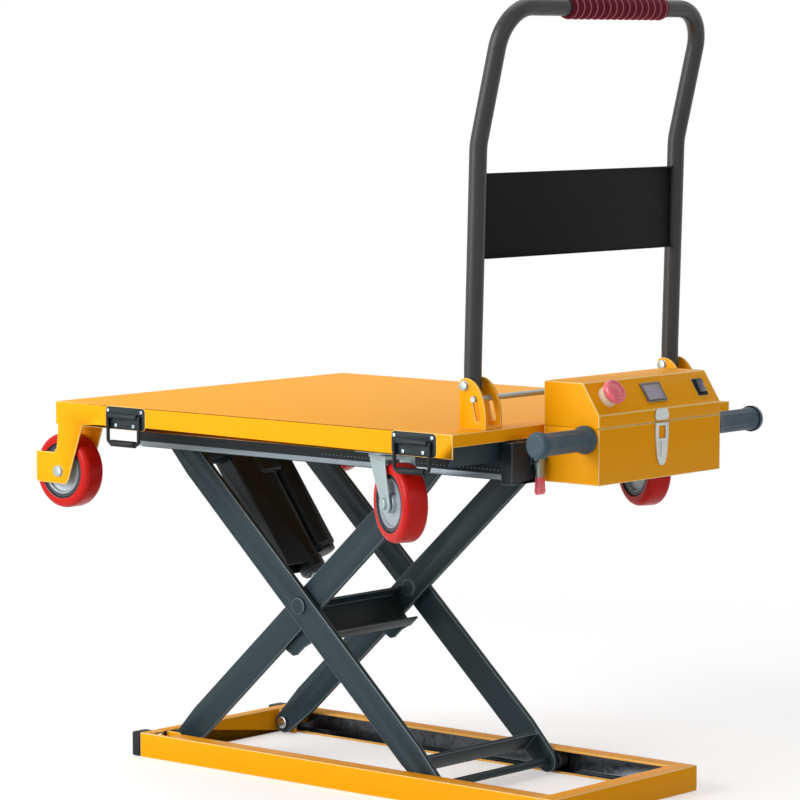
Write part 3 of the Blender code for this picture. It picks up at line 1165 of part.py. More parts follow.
def make_control_box():
    """Build the control box with its lid, panel controls, latch, grips and battery."""
    body_top = BOX_SEAM_Z - GAP
    outline = [(BOX_X0, BOX_Z0), (BOX_X1, BOX_Z0), (BOX_X1, body_top), (BOX_X0, body_top)]
    tub = prism(bmesh.new(), outline, "y", -BOX_HALF_WIDTH, BOX_HALF_WIDTH)
    shell = finish("control_box_body", tub, "yellow_paint")
    w = BOX_WALL
    inner_y = BOX_HALF_WIDTH - w
    inside = box(bmesh.new(), (BOX_X0 + w, -inner_y, BOX_Z0 + w), (BOX_X1 - w, inner_y, body_top + CUT))
    reach = BOX_HALF_WIDTH + CUT
    bar_hole = cylinder(
        bmesh.new(), "y", (SIDE_GRIP_X, SIDE_GRIP_Z), GRIP_BAR_RADIUS + PIN_GAP, -reach, reach
    )
    combine(shell, "DIFFERENCE", tool("box_inside", inside), tool("grip_bar_hole", bar_hole))

    hinge_x = BOX_X0 - LID_HINGE_BACK
    lid_axis = frame("box_lid_axis", (hinge_x, 0, BOX_SEAM_Z))
    shift = Vector((hinge_x, BOX_SEAM_Z))
    outer = [
        (BOX_X0, BOX_SEAM_Z), (BOX_X1, BOX_SEAM_Z), (BOX_X1, BOX_SLOPE_Z), (BOX_SLOPE_X, BOX_Z1),
        (BOX_X0, BOX_Z1),
    ]
    outer = [tuple(Vector(p) - shift) for p in outer]
    cover = prism(bmesh.new(), outer, "y", -BOX_HALF_WIDTH, BOX_HALF_WIDTH)
    lid = finish("control_box_lid", cover, "yellow_paint", lid_axis)
    foot = SLOPE_OUT * w
    mouth_z = BOX_SEAM_Z - CUT
    inner = [
        (BOX_X0 + w, mouth_z), (BOX_X1 - w, mouth_z), (BOX_X1 - w, BOX_SLOPE_Z - foot.y),
        (BOX_SLOPE_X - foot.x, BOX_Z1 - w), (BOX_X0 + w, BOX_Z1 - w),
    ]
    inner = [tuple(Vector(p) - shift) for p in inner]
    hollow = prism(bmesh.new(), inner, "y", -inner_y, inner_y)
    combine(lid, "DIFFERENCE", tool("lid_hollow", hollow, lid_axis))

    battery_x1 = SIDE_GRIP_X - GRIP_BAR_RADIUS - 0.004
    length = BATTERY_HALF_LENGTH
    corner = (BOX_X0 + w + GAP, -length, BOX_Z0 + w + GAP)
    battery = box(bmesh.new(), corner, (battery_x1, length, BATTERY_TOP))
    pack = finish("battery_pack", battery, "battery_case")
    soften = pack.modifiers.new("rounded", "BEVEL")
    soften.width = 0.003
    soften.segments = 2

    make_side_grips()
    make_panel_controls(lid, lid_axis, shift)
    make_box_latch(lid_axis, shift)


def make_side_grips():
    """Build the bar through the box that carries a rubber grip at each end."""
    start = BOX_HALF_WIDTH + GAP
    end = start + SIDE_GRIP_LENGTH
    r = SIDE_GRIP_RADIUS
    flange = SIDE_GRIP_FLANGE
    half = [
        (GRIP_BAR_RADIUS, start), (flange - 0.002, start), (flange, start + 0.003), (flange, start + 0.010),
        (r, start + 0.016), (r, end - 0.022), (flange - 0.001, end - 0.014), (flange - 0.001, end - 0.005),
        (flange - 0.005, end), (0.0, end),
    ]
    profile = [(radius, -along) for radius, along in reversed(half)] + half
    bar = turned(bmesh.new(), profile, "y", (SIDE_GRIP_X, SIDE_GRIP_Z), 16)
    finish("side_grip_bar", bar, "blue_rubber", None, True)


def on_slope(bm, shift, y, lift=0.0):
    """Move a shape modelled flat, with its face up, on to the sloped panel."""
    up = SLOPE_UP
    out = SLOPE_OUT
    turn = Matrix(((up.x, 0, out.x), (0, 1, 0), (up.y, 0, out.y))).to_4x4()
    centre = SLOPE_MID + out * lift - shift
    bm.transform(Matrix.Translation((centre.x, y, centre.y)) @ turn)
    return bm


def make_panel_controls(lid, lid_axis, shift):
    """Build the emergency stop, charge meter and rocker switch on the slope."""
    bore = ESTOP_STEM_RADIUS + RUN_GAP
    height = ESTOP_COLLAR_HEIGHT
    well = height - ESTOP_TRAVEL - 2 * GAP
    ring = [
        (0.0, GAP), (ESTOP_COLLAR_RADIUS, GAP), (ESTOP_COLLAR_RADIUS, height - 0.0015),
        (ESTOP_COLLAR_RADIUS - 0.002, height), (bore, height), (bore, well), (0.0, well),
    ]
    collar = turned(bmesh.new(), ring, "z", (0, 0), 24)
    finish("estop_collar", on_slope(collar, shift, ESTOP_Y), "cream_plastic", lid_axis, True)
    under = height + ESTOP_TRAVEL + RUN_GAP
    crown = under + ESTOP_HEAD_HEIGHT
    rim = ESTOP_HEAD_RADIUS
    mushroom = [
        (0.0, height - GAP), (ESTOP_STEM_RADIUS, height - GAP), (ESTOP_STEM_RADIUS, under),
        (rim - 0.002, under), (rim, under + 0.0025), (rim, crown - 0.006), (rim - 0.004, crown - 0.002),
        (rim * 0.5, crown - 0.0005), (0.0, crown),
    ]
    head = turned(bmesh.new(), mushroom, "z", (0, 0), 24)
    finish("estop_button", on_slope(head, shift, ESTOP_Y), "stop_red", lid_axis, True)

    half_x = METER_SIZE[1] / 2
    half_y = METER_SIZE[0] / 2
    bezel = box(bmesh.new(), (-half_x, -half_y, GAP), (half_x, half_y, METER_THICKNESS))
    meter = finish("battery_meter", on_slope(bezel, shift, 0.0), "meter_plastic", lid_axis)
    inner_x = half_x - METER_FRAME
    inner_y = half_y - METER_FRAME
    screen = box(bmesh.new(), (-inner_x, -inner_y, METER_THICKNESS - 0.001), (inner_x, inner_y, CUT))
    combine(meter, "DIFFERENCE", tool("meter_recess", on_slope(screen, shift, 0.0), lid_axis))

    half_x = SWITCH_SIZE[1] / 2
    half_y = SWITCH_SIZE[0] / 2
    bezel = box(bmesh.new(), (-half_x, -half_y, -0.001), (half_x, half_y, SWITCH_BEZEL))
    inner_x = half_x - SWITCH_FRAME
    inner_y = half_y - SWITCH_FRAME
    well = box(bmesh.new(), (-inner_x, -inner_y, SWITCH_FLOOR), (inner_x, inner_y, CUT))
    combine(lid, "UNION", tool("switch_bezel", on_slope(bezel, shift, SWITCH_Y), lid_axis))
    combine(lid, "DIFFERENCE", tool("switch_well", on_slope(well, shift, SWITCH_Y), lid_axis))
    rx = half_x - 0.0045
    floor = SWITCH_FLOOR + 2 * GAP
    rocker = [
        (-rx, floor + 0.0020), (-0.003, floor), (0.003, floor), (rx, floor + 0.0020), (rx, floor + 0.0055),
        (0.0, floor + 0.0035), (-rx, floor + 0.0035),
    ]
    key = prism(bmesh.new(), rocker, "y", 0.0038 - half_y, half_y - 0.0038)
    finish("rocker_switch", on_slope(key, shift, SWITCH_Y), "switch_plastic", lid_axis)


def make_box_latch(lid_axis, shift):
    """Build the draw latch: a catch on the lid and a lever on the box."""
    face = BOX_X1 + GAP
    half = LATCH_WIDTH / 2
    z0 = BOX_SEAM_Z + 0.003
    z1 = BOX_SLOPE_Z + 0.001
    outline = [
        (-half + 0.004, z0), (half - 0.004, z0), (half, z0 + 0.006), (half - 0.003, z1 - 0.004),
        (half - 0.006, z1), (-half + 0.006, z1), (-half + 0.003, z1 - 0.004), (-half, z0 + 0.006),
    ]
    outline = [(y, z - shift.y) for y, z in outline]
    catch = prism(bmesh.new(), outline, "x", face - shift.x, face + LATCH_THICKNESS - shift.x)
    finish("latch_catch", catch, "zinc", lid_axis)

    body = frame("latch_lever_axis", (BOX_X1 + LATCH_STANDOFF, 0, BOX_SEAM_Z - LATCH_HINGE_DROP))
    back = GAP - LATCH_STANDOFF
    front = back + LATCH_THICKNESS
    top = 0.0008
    low = -LATCH_LENGTH
    outline = [(half - 0.001, top), (half - 0.001, -0.020), (half - 0.006, low + 0.014)]
    outline += circle((0, low + 0.012), half - 0.008, 9, 0, -pi)
    outline += [(-half + 0.006, low + 0.014), (-half + 0.001, -0.020), (-half + 0.001, top)]
    lever = finish("latch_lever", prism(bmesh.new(), outline, "x", back, front), "zinc", body)
    window = box(bmesh.new(), (-0.01, -0.009, -0.024), (0.01, 0.009, -0.004))
    rib_outline = [(-0.004, -0.028), (0.004, -0.028), (0.005, low + 0.016), (-0.005, low + 0.016)]
    rib = prism(bmesh.new(), rib_outline, "x", front - 0.001, front + 0.0025)
    combine(lever, "DIFFERENCE", tool("latch_window", window, body))
    combine(lever, "UNION", tool("latch_rib", rib, body))


make_base()
make_inner_arms()
make_outer_arms()
make_rollers()
make_actuator()
make_top_frame()
make_slides()
make_deck()
make_fixed_wheels()
make_casters()
make_chest_handles()
make_push_handle()
make_control_box()
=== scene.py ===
# %% [markdown]
# # An electric scissor lift cart
# The cart stands on its floor frame with the deck raised: a single scissor, driven by an electric
# actuator, lifts a sliding deck with two rigid wheels, two swivel casters, a folding push handle
# and a control box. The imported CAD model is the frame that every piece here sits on, so this
# script never moves it. It dresses each part with softened edges, finer round pieces and real
# finishes. Places that follow from a pivot are read from the frame's joints.

# %% Load the frame
import bpy
import bmesh
import json
from math import cos, pi, radians, sin
from mathutils import Matrix, Vector

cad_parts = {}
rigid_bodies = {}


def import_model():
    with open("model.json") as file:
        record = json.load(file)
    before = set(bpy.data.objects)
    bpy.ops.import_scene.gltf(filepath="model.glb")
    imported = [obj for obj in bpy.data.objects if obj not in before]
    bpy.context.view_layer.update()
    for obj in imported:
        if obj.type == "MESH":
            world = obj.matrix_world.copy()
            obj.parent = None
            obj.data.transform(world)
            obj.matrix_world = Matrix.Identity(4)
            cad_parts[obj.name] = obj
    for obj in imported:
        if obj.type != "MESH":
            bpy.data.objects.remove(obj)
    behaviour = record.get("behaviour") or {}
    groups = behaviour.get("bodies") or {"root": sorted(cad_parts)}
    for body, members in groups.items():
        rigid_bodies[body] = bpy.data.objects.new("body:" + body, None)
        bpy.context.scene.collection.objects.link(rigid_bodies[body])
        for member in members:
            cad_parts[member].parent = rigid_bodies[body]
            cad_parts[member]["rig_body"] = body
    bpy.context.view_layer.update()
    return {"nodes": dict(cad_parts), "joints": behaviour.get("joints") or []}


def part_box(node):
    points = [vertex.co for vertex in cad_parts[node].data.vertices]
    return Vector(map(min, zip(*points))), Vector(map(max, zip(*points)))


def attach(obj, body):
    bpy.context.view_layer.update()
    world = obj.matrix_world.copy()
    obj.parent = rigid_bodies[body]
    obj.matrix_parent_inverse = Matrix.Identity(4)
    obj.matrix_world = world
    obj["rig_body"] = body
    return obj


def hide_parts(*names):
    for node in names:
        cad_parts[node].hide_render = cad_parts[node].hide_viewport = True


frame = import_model()
scene = bpy.context.scene
PIVOT = {joint["name"]: Vector(joint["pos_m"]) for joint in frame["joints"]}
print("nodes in the frame:", len(frame["nodes"]), "joints:", len(PIVOT))

# %% [markdown]
# The photograph looks down slightly at the cart's operator end and its near long side. Two
# vanishing points gave the camera's turn and tilt, and the wheels' size gave its distance. A long
# lens keeps the picture almost free of perspective, as in a catalogue photograph.

# %% Camera
CAMERA_AIM = Vector((-0.025, 0.0, 0.627))
CAMERA_TURN = radians(40.4)
CAMERA_RISE = radians(5.33)
CAMERA_DISTANCE = 6.2
CAMERA_LENS = 167.4
CAMERA_SENSOR = 36.0
CAMERA_REACH = 60.0

lens = bpy.data.cameras.new("camera")
lens.lens = CAMERA_LENS
lens.sensor_width = CAMERA_SENSOR
lens.clip_end = CAMERA_REACH
camera = bpy.data.objects.new("camera", lens)
scene.collection.objects.link(camera)
level = cos(CAMERA_RISE)
towards = Vector((sin(CAMERA_TURN) * level, -cos(CAMERA_TURN) * level, sin(CAMERA_RISE)))
camera.location = CAMERA_AIM + towards * CAMERA_DISTANCE
camera.rotation_euler = (-towards).to_track_quat("-Z", "Y").to_euler()
scene.camera = camera
print("camera at", tuple(round(v, 3) for v in camera.location))

# %% [markdown]
# Studio light for a catalogue picture: one large soft panel over the near side, a smaller one for
# the operator's end, a low fill from the back, and an even pale surround. The near side then comes
# out about twice as bright as the operator's end, as in the photograph.

# %% Lights
LAMP_AIM = Vector((0.0, 0.0, 0.5))
LAMPS = (
    ("near_side_panel", (-1.4, -3.6, 2.0), 2.8, 142.0),
    ("end_panel", (3.6, -0.8, 1.9), 2.0, 8.0),
    ("overhead_panel", (-0.3, 0.6, 3.6), 3.0, 34.0),
)
for name, place, size, power in LAMPS:
    panel = bpy.data.lights.new(name, "AREA")
    panel.shape = "SQUARE"
    panel.size = size
    panel.energy = power
    lamp = bpy.data.objects.new(name, panel)
    lamp.location = place
    lamp.rotation_euler = (LAMP_AIM - Vector(place)).to_track_quat("-Z", "Y").to_euler()
    scene.collection.objects.link(lamp)
print("lamps:", len(LAMPS))

# %% [markdown]
# The surround lights the cart evenly at a modest level, and shows as white only where the camera,
# a reflection or clear plastic looks straight at it. Light Path tells those rays apart.

# %% World
SURROUND_STRENGTH = 0.34

world = bpy.data.worlds.new("studio")
scene.world = world
world.use_nodes = True
wires = world.node_tree
wires.nodes.clear()
paths = wires.nodes.new("ShaderNodeLightPath")
either = wires.nodes.new("ShaderNodeMath")
either.operation = "MAXIMUM"
seen = wires.nodes.new("ShaderNodeMath")
seen.operation = "MAXIMUM"
soft = wires.nodes.new("ShaderNodeBackground")
bright = wires.nodes.new("ShaderNodeBackground")
for backdrop, strength in ((soft, SURROUND_STRENGTH), (bright, 1.0)):
    backdrop.inputs["Color"].default_value = (1.0, 1.0, 1.0, 1.0)
    backdrop.inputs["Strength"].default_value = strength
choose = wires.nodes.new("ShaderNodeMixShader")
result = wires.nodes.new("ShaderNodeOutputWorld")
wires.links.new(paths.outputs["Is Camera Ray"], either.inputs[0])
wires.links.new(paths.outputs["Is Transmission Ray"], either.inputs[1])
wires.links.new(either.outputs[0], seen.inputs[0])
wires.links.new(paths.outputs["Is Glossy Ray"], seen.inputs[1])
wires.links.new(seen.outputs[0], choose.inputs["Fac"])
wires.links.new(soft.outputs[0], choose.inputs[1])
wires.links.new(bright.outputs[0], choose.inputs[2])
wires.links.new(choose.outputs[0], result.inputs["Surface"])
scene.view_settings.view_transform = "Standard"

# %% [markdown]
# The floor is one wide pale sheet. Close to the cart its diffuse surface keeps the soft shadow,
# lifted by a little light of its own. Further out it turns to plain white for the camera, for
# reflections and for clear plastic, so that no horizon shows: the distance from the cart, taken
# from Object coordinates, blends the two.

# %% Floor
FLOOR_HALF = 14.0
FLOOR_DROP = 0.0004
FLOOR_LIFT = 0.42
SHADOW_REACH = (1.0, 2.3)

ground = bmesh.new()
bmesh.ops.create_grid(ground, x_segments=1, y_segments=1, size=FLOOR_HALF)
floor_mesh = bpy.data.meshes.new("studio_floor")
ground.to_mesh(floor_mesh)
ground.free()
floor = bpy.data.objects.new("studio_floor", floor_mesh)
floor.data.transform(Matrix.Translation((0.0, 0.0, -FLOOR_DROP)))
scene.collection.objects.link(floor)
pale = bpy.data.materials.new("pale_floor")
pale.use_nodes = True
sheet = pale.node_tree
matt = sheet.nodes["Principled BSDF"]
matt.inputs["Base Color"].default_value = (0.80, 0.80, 0.80, 1.0)
matt.inputs["Roughness"].default_value = 0.9
matt.inputs["Specular IOR Level"].default_value = 0.1
glow = sheet.nodes.new("ShaderNodeEmission")
glow.inputs["Strength"].default_value = FLOOR_LIFT
white = sheet.nodes.new("ShaderNodeEmission")
near_cart = sheet.nodes.new("ShaderNodeAddShader")
sheet.links.new(matt.outputs[0], near_cart.inputs[0])
sheet.links.new(glow.outputs[0], near_cart.inputs[1])
spot = sheet.nodes.new("ShaderNodeTexCoord")
span = sheet.nodes.new("ShaderNodeVectorMath")
span.operation = "LENGTH"
sheet.links.new(spot.outputs["Object"], span.inputs[0])
outward = sheet.nodes.new("ShaderNodeMapRange")
outward.interpolation_type = "SMOOTHSTEP"
outward.inputs["From Min"].default_value = SHADOW_REACH[0]
outward.inputs["From Max"].default_value = SHADOW_REACH[1]
sheet.links.new(span.outputs["Value"], outward.inputs["Value"])
shown = sheet.nodes.new("ShaderNodeMixShader")
sheet.links.new(outward.outputs[0], shown.inputs["Fac"])
sheet.links.new(near_cart.outputs[0], shown.inputs[1])
sheet.links.new(white.outputs[0], shown.inputs[2])
floor_paths = sheet.nodes.new("ShaderNodeLightPath")
looked_at = sheet.nodes.new("ShaderNodeMath")
looked_at.operation = "MAXIMUM"
sheet.links.new(floor_paths.outputs["Is Camera Ray"], looked_at.inputs[0])
sheet.links.new(floor_paths.outputs["Is Glossy Ray"], looked_at.inputs[1])
looked_through = sheet.nodes.new("ShaderNodeMath")
looked_through.operation = "MAXIMUM"
sheet.links.new(looked_at.outputs[0], looked_through.inputs[0])
sheet.links.new(floor_paths.outputs["Is Transmission Ray"], looked_through.inputs[1])
total = sheet.nodes.new("ShaderNodeMixShader")
sheet.links.new(looked_through.outputs[0], total.inputs["Fac"])
sheet.links.new(matt.outputs[0], total.inputs[1])
sheet.links.new(shown.outputs[0], total.inputs[2])
sheet.links.new(total.outputs[0], sheet.nodes["Material Output"].inputs["Surface"])
floor.data.materials.append(pale)
print("floor is", 2 * FLOOR_HALF, "m wide")

# %% [markdown]
# Every finish on the cart is a paint, a plating, a plastic or a rubber, and they share three
# effects. Each effect is a node group that reads Object coordinates, so that its scale is in metres
# and stays with the piece when the cart moves. The first is the fine ripple of sprayed powder
# paint, which is what makes a painted panel look painted.

# %% Helpers for node groups
def new_group(name, inputs, outputs):
    """Start a shader node group with float inputs given as (name, value), and named outputs."""
    group = bpy.data.node_groups.new(name, "ShaderNodeTree")
    for label, value in inputs:
        socket = group.interface.new_socket(
            name=label, in_out="INPUT", socket_type="NodeSocketFloat")
        socket.default_value = value
    for label, kind in outputs:
        group.interface.new_socket(name=label, in_out="OUTPUT", socket_type=kind)
    start = group.nodes.new("NodeGroupInput")
    end = group.nodes.new("NodeGroupOutput")
    return group, start, end


def noise(tree, scale, detail=3.0, roughness=0.5):
    """Add a noise texture on Object coordinates, and return its value output."""
    place = tree.nodes.new("ShaderNodeTexCoord")
    texture = tree.nodes.new("ShaderNodeTexNoise")
    texture.inputs["Scale"].default_value = scale
    texture.inputs["Detail"].default_value = detail
    texture.inputs["Roughness"].default_value = roughness
    tree.links.new(place.outputs["Object"], texture.inputs["Vector"])
    return texture


def arithmetic(tree, operation, first, second):
    """Add a Math node whose inputs are sockets or plain numbers, and return its output."""
    node = tree.nodes.new("ShaderNodeMath")
    node.operation = operation
    for index, value in enumerate((first, second)):
        if isinstance(value, (int, float)):
            node.inputs[index].default_value = value
        else:
            tree.links.new(value, node.inputs[index])
    return node.outputs[0]


def spread(tree, value, low, high, out_low, out_high):
    """Map a value's range on to another, clamped at both ends."""
    node = tree.nodes.new("ShaderNodeMapRange")
    node.inputs["From Min"].default_value = low
    node.inputs["From Max"].default_value = high
    node.inputs["To Min"].default_value = out_low
    node.inputs["To Max"].default_value = out_high
    tree.links.new(value, node.inputs["Value"])
    return node.outputs[0]


# %% Paint ripple group
ripple, ripple_in, ripple_out = new_group(
    "paint_ripple", [("Scale", 420.0), ("Depth", 1.0)], [("Height", "NodeSocketFloat")]
)
orange_peel = noise(ripple, 420.0, 2.0)
ripple.links.new(ripple_in.outputs["Scale"], orange_peel.inputs["Scale"])
peel_height = arithmetic(ripple, "MULTIPLY", orange_peel.outputs["Fac"], ripple_in.outputs["Depth"])
ripple.links.new(peel_height, ripple_out.inputs["Height"])

# %% [markdown]
# The second effect is use: a cart that has been handled shows broad, faint changes of gloss, finer
# scuffs, and a few specks. The group gives one value for colour and one for roughness, both around
# zero, so that a material adds them to its own base values.

# %% Handling marks group
marks, marks_in, marks_out = new_group(
    "handling_marks", [("Broad scale", 6.0), ("Fine scale", 90.0)],
    [("Shade", "NodeSocketFloat"), ("Rough", "NodeSocketFloat")]
)
broad = noise(marks, 6.0, 4.0, 0.55)
fine = noise(marks, 90.0, 6.0, 0.7)
marks.links.new(marks_in.outputs["Broad scale"], broad.inputs["Scale"])
marks.links.new(marks_in.outputs["Fine scale"], fine.inputs["Scale"])
broad_part = spread(marks, broad.outputs["Fac"], 0.3, 0.7, -0.5, 0.5)
fine_part = spread(marks, fine.outputs["Fac"], 0.35, 0.75, -0.25, 0.5)
both = arithmetic(marks, "ADD", broad_part, fine_part)
marks.links.new(both, marks_out.inputs["Shade"])
marks.links.new(fine_part, marks_out.inputs["Rough"])

# %% [markdown]
# The third effect is for the finishes that softened edges carry, and is partly wear on edges and
# partly a painted highlight along them. Pointiness is high where a surface is convex, such as along
# a softened edge, and noise breaks the line up, so that paint looks rubbed and not outlined.

# %% Edge wear group
wear, wear_in, wear_out = new_group(
    "edge_wear_and_highlight", [("Start", 0.54), ("End", 0.62), ("Break-up", 60.0)], [("Mask", "NodeSocketFloat")]
)
shape = wear.nodes.new("ShaderNodeNewGeometry")
edge = wear.nodes.new("ShaderNodeMapRange")
wear.links.new(shape.outputs["Pointiness"], edge.inputs["Value"])
wear.links.new(wear_in.outputs["Start"], edge.inputs["From Min"])
wear.links.new(wear_in.outputs["End"], edge.inputs["From Max"])
chips = noise(wear, 60.0, 5.0, 0.7)
wear.links.new(wear_in.outputs["Break-up"], chips.inputs["Scale"])
chip_mask = spread(wear, chips.outputs["Fac"], 0.45, 0.62, 0.0, 1.0)
wear.links.new(arithmetic(wear, "MULTIPLY", edge.outputs[0], chip_mask), wear_out.inputs["Mask"])
print("effects:", ", ".join(group.name for group in bpy.data.node_groups))

# %% [markdown]
# A finish then has its own colour, a second colour for where it is marked or worn, and its own
# gloss. Numbers that are the same all over are set on the Principled shader itself.

# %% Finish builder
COAT_ROUGHNESS = 0.15
BUMP_STRENGTH = 0.6


def mix_colours(tree, factor, first, second):
    """Mix two colours, each a socket or a plain colour, by a factor socket."""
    node = tree.nodes.new("ShaderNodeMix")
    node.data_type = "RGBA"
    tree.links.new(factor, node.inputs["Factor"])
    for name, value in (("A", first), ("B", second)):
        socket = [s for s in node.inputs if s.name == name and s.type == "RGBA"][0]
        if isinstance(value, tuple):
            socket.default_value = (*value, 1.0)
        else:
            tree.links.new(value, socket)
    return [s for s in node.outputs if s.type == "RGBA"][0]


def finish(name, colour, marked, roughness, metallic=0.0, ripple_scale=420.0, ripple_depth=0.00004,
           worn=None, worn_metallic=0.4, rough_change=0.12, shade_change=0.5, coat=0.0,
           specular=0.5):
    """Make a finish from the shared effects and this surface's own colours and gloss."""
    made = bpy.data.materials.new(name)
    made.use_nodes = True
    made.diffuse_color = (*colour, 1.0)
    tree = made.node_tree
    surface = tree.nodes["Principled BSDF"]
    use = tree.nodes.new("ShaderNodeGroup")
    use.node_tree = marks
    amount = arithmetic(tree, "MULTIPLY", use.outputs["Shade"], shade_change)
    amount_clamped = spread(tree, amount, 0.0, 0.6, 0.0, 1.0)
    body = mix_colours(tree, amount_clamped, colour, marked)
    rough = arithmetic(tree, "MULTIPLY", use.outputs["Rough"], rough_change)
    rough = arithmetic(tree, "ADD", rough, roughness)
    # Where a worn colour is given, the edge mask mixes it in: paler flecks that are partly wear and
    # partly painted highlight.
    if worn:
        rub = tree.nodes.new("ShaderNodeGroup")
        rub.node_tree = wear
        body = mix_colours(tree, rub.outputs["Mask"], body, worn)
        shine = spread(tree, rub.outputs["Mask"], 0.0, 1.0, metallic, worn_metallic)
        tree.links.new(shine, surface.inputs["Metallic"])
    else:
        surface.inputs["Metallic"].default_value = metallic
    tree.links.new(body, surface.inputs["Base Color"])
    tree.links.new(rough, surface.inputs["Roughness"])
    surface.inputs["Coat Weight"].default_value = coat
    surface.inputs["Coat Roughness"].default_value = COAT_ROUGHNESS
    surface.inputs["Specular IOR Level"].default_value = specular
    peel = tree.nodes.new("ShaderNodeGroup")
    peel.node_tree = ripple
    peel.inputs["Scale"].default_value = ripple_scale
    bump = tree.nodes.new("ShaderNodeBump")
    bump.inputs["Strength"].default_value = BUMP_STRENGTH
    bump.inputs["Distance"].default_value = ripple_depth
    tree.links.new(peel.outputs["Height"], bump.inputs["Height"])
    tree.links.new(bump.outputs["Normal"], surface.inputs["Normal"])
    return made


# %% Finishes
YELLOW = finish("yellow_powder_paint", (1.0, 0.412, 0.0012), (0.97, 0.385, 0.0010), 0.46,
                shade_change=0.3, specular=0.10)
# The paler edge finishes are painted highlights: their colour lights the bevels along the edges of
# the yellow, blue-grey and black parts.
YELLOW_EDGE_HIGHLIGHT = finish("yellow_painted_edge_highlight", (1.0, 0.70, 0.24), (0.97, 0.60, 0.14), 0.42,
                     worn=(0.98, 0.82, 0.52), worn_metallic=0.1, specular=0.3)
ARM_PAINT = finish("blue_grey_arm_paint", (0.021, 0.040, 0.049), (0.015, 0.030, 0.038), 0.44,
                   specular=0.22)
ARM_EDGE_HIGHLIGHT = finish("blue_grey_painted_edge_highlight", (0.12, 0.17, 0.19), (0.08, 0.12, 0.14), 0.36,
                  worn=(0.22, 0.27, 0.29))
BLACK_PAINT = finish("black_frame_paint", (0.010, 0.017, 0.022), (0.016, 0.026, 0.032), 0.42,
                     specular=0.25)
BLACK_EDGE_HIGHLIGHT = finish("black_painted_edge_highlight", (0.06, 0.09, 0.105), (0.04, 0.06, 0.07), 0.34,
                    worn=(0.15, 0.19, 0.21))
TUBE_PAINT = finish("charcoal_tube_paint", (0.032, 0.032, 0.033), (0.024, 0.024, 0.025), 0.36,
                    ripple_scale=700.0, ripple_depth=0.00008, specular=0.35)
PANEL_PAINT = finish("black_panel_paint", (0.0045, 0.0045, 0.0048), (0.008, 0.008, 0.0085), 0.46,
                     ripple_scale=700.0, ripple_depth=0.00006, specular=0.08)
BLACK_PLASTIC = finish("black_moulded_plastic", (0.010, 0.012, 0.015), (0.018, 0.021, 0.024), 0.50,
                       ripple_scale=1500.0, ripple_depth=0.00005, specular=0.25)
ZINC = finish("zinc_plate", (0.40, 0.50, 0.51), (0.30, 0.39, 0.40), 0.38, 0.60,
              ripple_scale=260.0, ripple_depth=0.00002)
STEEL = finish("bright_steel", (0.50, 0.52, 0.54), (0.38, 0.40, 0.42), 0.26, 1.0,
               ripple_scale=900.0, ripple_depth=0.00002)
LATCH_METAL = finish("polished_latch_plate", (0.66, 0.69, 0.67), (0.52, 0.55, 0.54), 0.30, 0.45,
                     ripple_scale=400.0, ripple_depth=0.00002)
RAIL = finish("galvanised_rail", (0.27, 0.33, 0.36), (0.20, 0.25, 0.28), 0.38, 0.7,
              ripple_scale=300.0, ripple_depth=0.00002)
TRACK = finish("worn_track_steel", (0.085, 0.095, 0.105), (0.020, 0.022, 0.024), 0.20, 0.95,
               ripple_scale=90.0, ripple_depth=0.00010, rough_change=0.3, shade_change=1.0)
TYRE_RED = finish("red_polyurethane", (0.56, 0.009, 0.006), (0.46, 0.006, 0.005), 0.30,
                  ripple_scale=240.0, ripple_depth=0.00005, rough_change=0.2, specular=0.18)
HUB_GREY = finish("grey_hub_casting", (0.38, 0.43, 0.46), (0.29, 0.33, 0.36), 0.40, 0.35,
                  ripple_scale=600.0, ripple_depth=0.00006)
RIM_DARK = finish("dark_rim_steel", (0.050, 0.054, 0.062), (0.030, 0.032, 0.038), 0.40, 0.5)
GRIP_RUBBER = finish("blue_grey_rubber", (0.042, 0.078, 0.105), (0.032, 0.060, 0.082), 0.50,
                     ripple_scale=1400.0, ripple_depth=0.00006, specular=0.35)
FOAM = finish("maroon_foam", (0.135, 0.010, 0.022), (0.080, 0.006, 0.012), 0.85,
              ripple_scale=1900.0, ripple_depth=0.0003, specular=0.15)
# The ribs' paler rose is a painted highlight along their crests.
FOAM_RIDGE_HIGHLIGHT = finish("rose_painted_ridge_highlight", (0.48, 0.13, 0.17), (0.36, 0.08, 0.11), 0.85,
                    ripple_scale=1900.0, ripple_depth=0.0003, specular=0.2)
CREAM = finish("cream_plastic", (0.84, 0.72, 0.56), (0.76, 0.64, 0.48), 0.42,
               ripple_scale=1500.0, ripple_depth=0.00002)
STOP_RED = finish("stop_button_red", (0.90, 0.13, 0.18), (0.84, 0.10, 0.14), 0.30,
                  ripple_scale=1500.0, ripple_depth=0.00002, coat=0.3)
METER_GREY = finish("meter_frame_plastic", (0.075, 0.070, 0.066), (0.050, 0.047, 0.045), 0.38,
                    ripple_scale=1500.0, ripple_depth=0.00002)
METER_SCREEN = finish("meter_screen", (0.30, 0.26, 0.34), (0.22, 0.19, 0.27), 0.16,
                      ripple_scale=1500.0, ripple_depth=0.00001, coat=0.5)
PALE_EDGE = finish("pale_moulded_rim", (0.46, 0.44, 0.38), (0.34, 0.33, 0.30), 0.40,
                   ripple_scale=1500.0, ripple_depth=0.00002)
SWITCH_BLUE = finish("switch_plastic", (0.018, 0.034, 0.058), (0.012, 0.024, 0.042), 0.22,
                     ripple_scale=1500.0, ripple_depth=0.00001, coat=0.5)
CASE_GREY = finish("battery_case_plastic", (0.040, 0.046, 0.052), (0.030, 0.034, 0.040), 0.55,
                   ripple_scale=1200.0, ripple_depth=0.00008)
NYLON = finish("roller_nylon", (0.055, 0.056, 0.060), (0.040, 0.041, 0.044), 0.42,
               ripple_scale=800.0, ripple_depth=0.00004)
print("finishes:", len(bpy.data.materials))
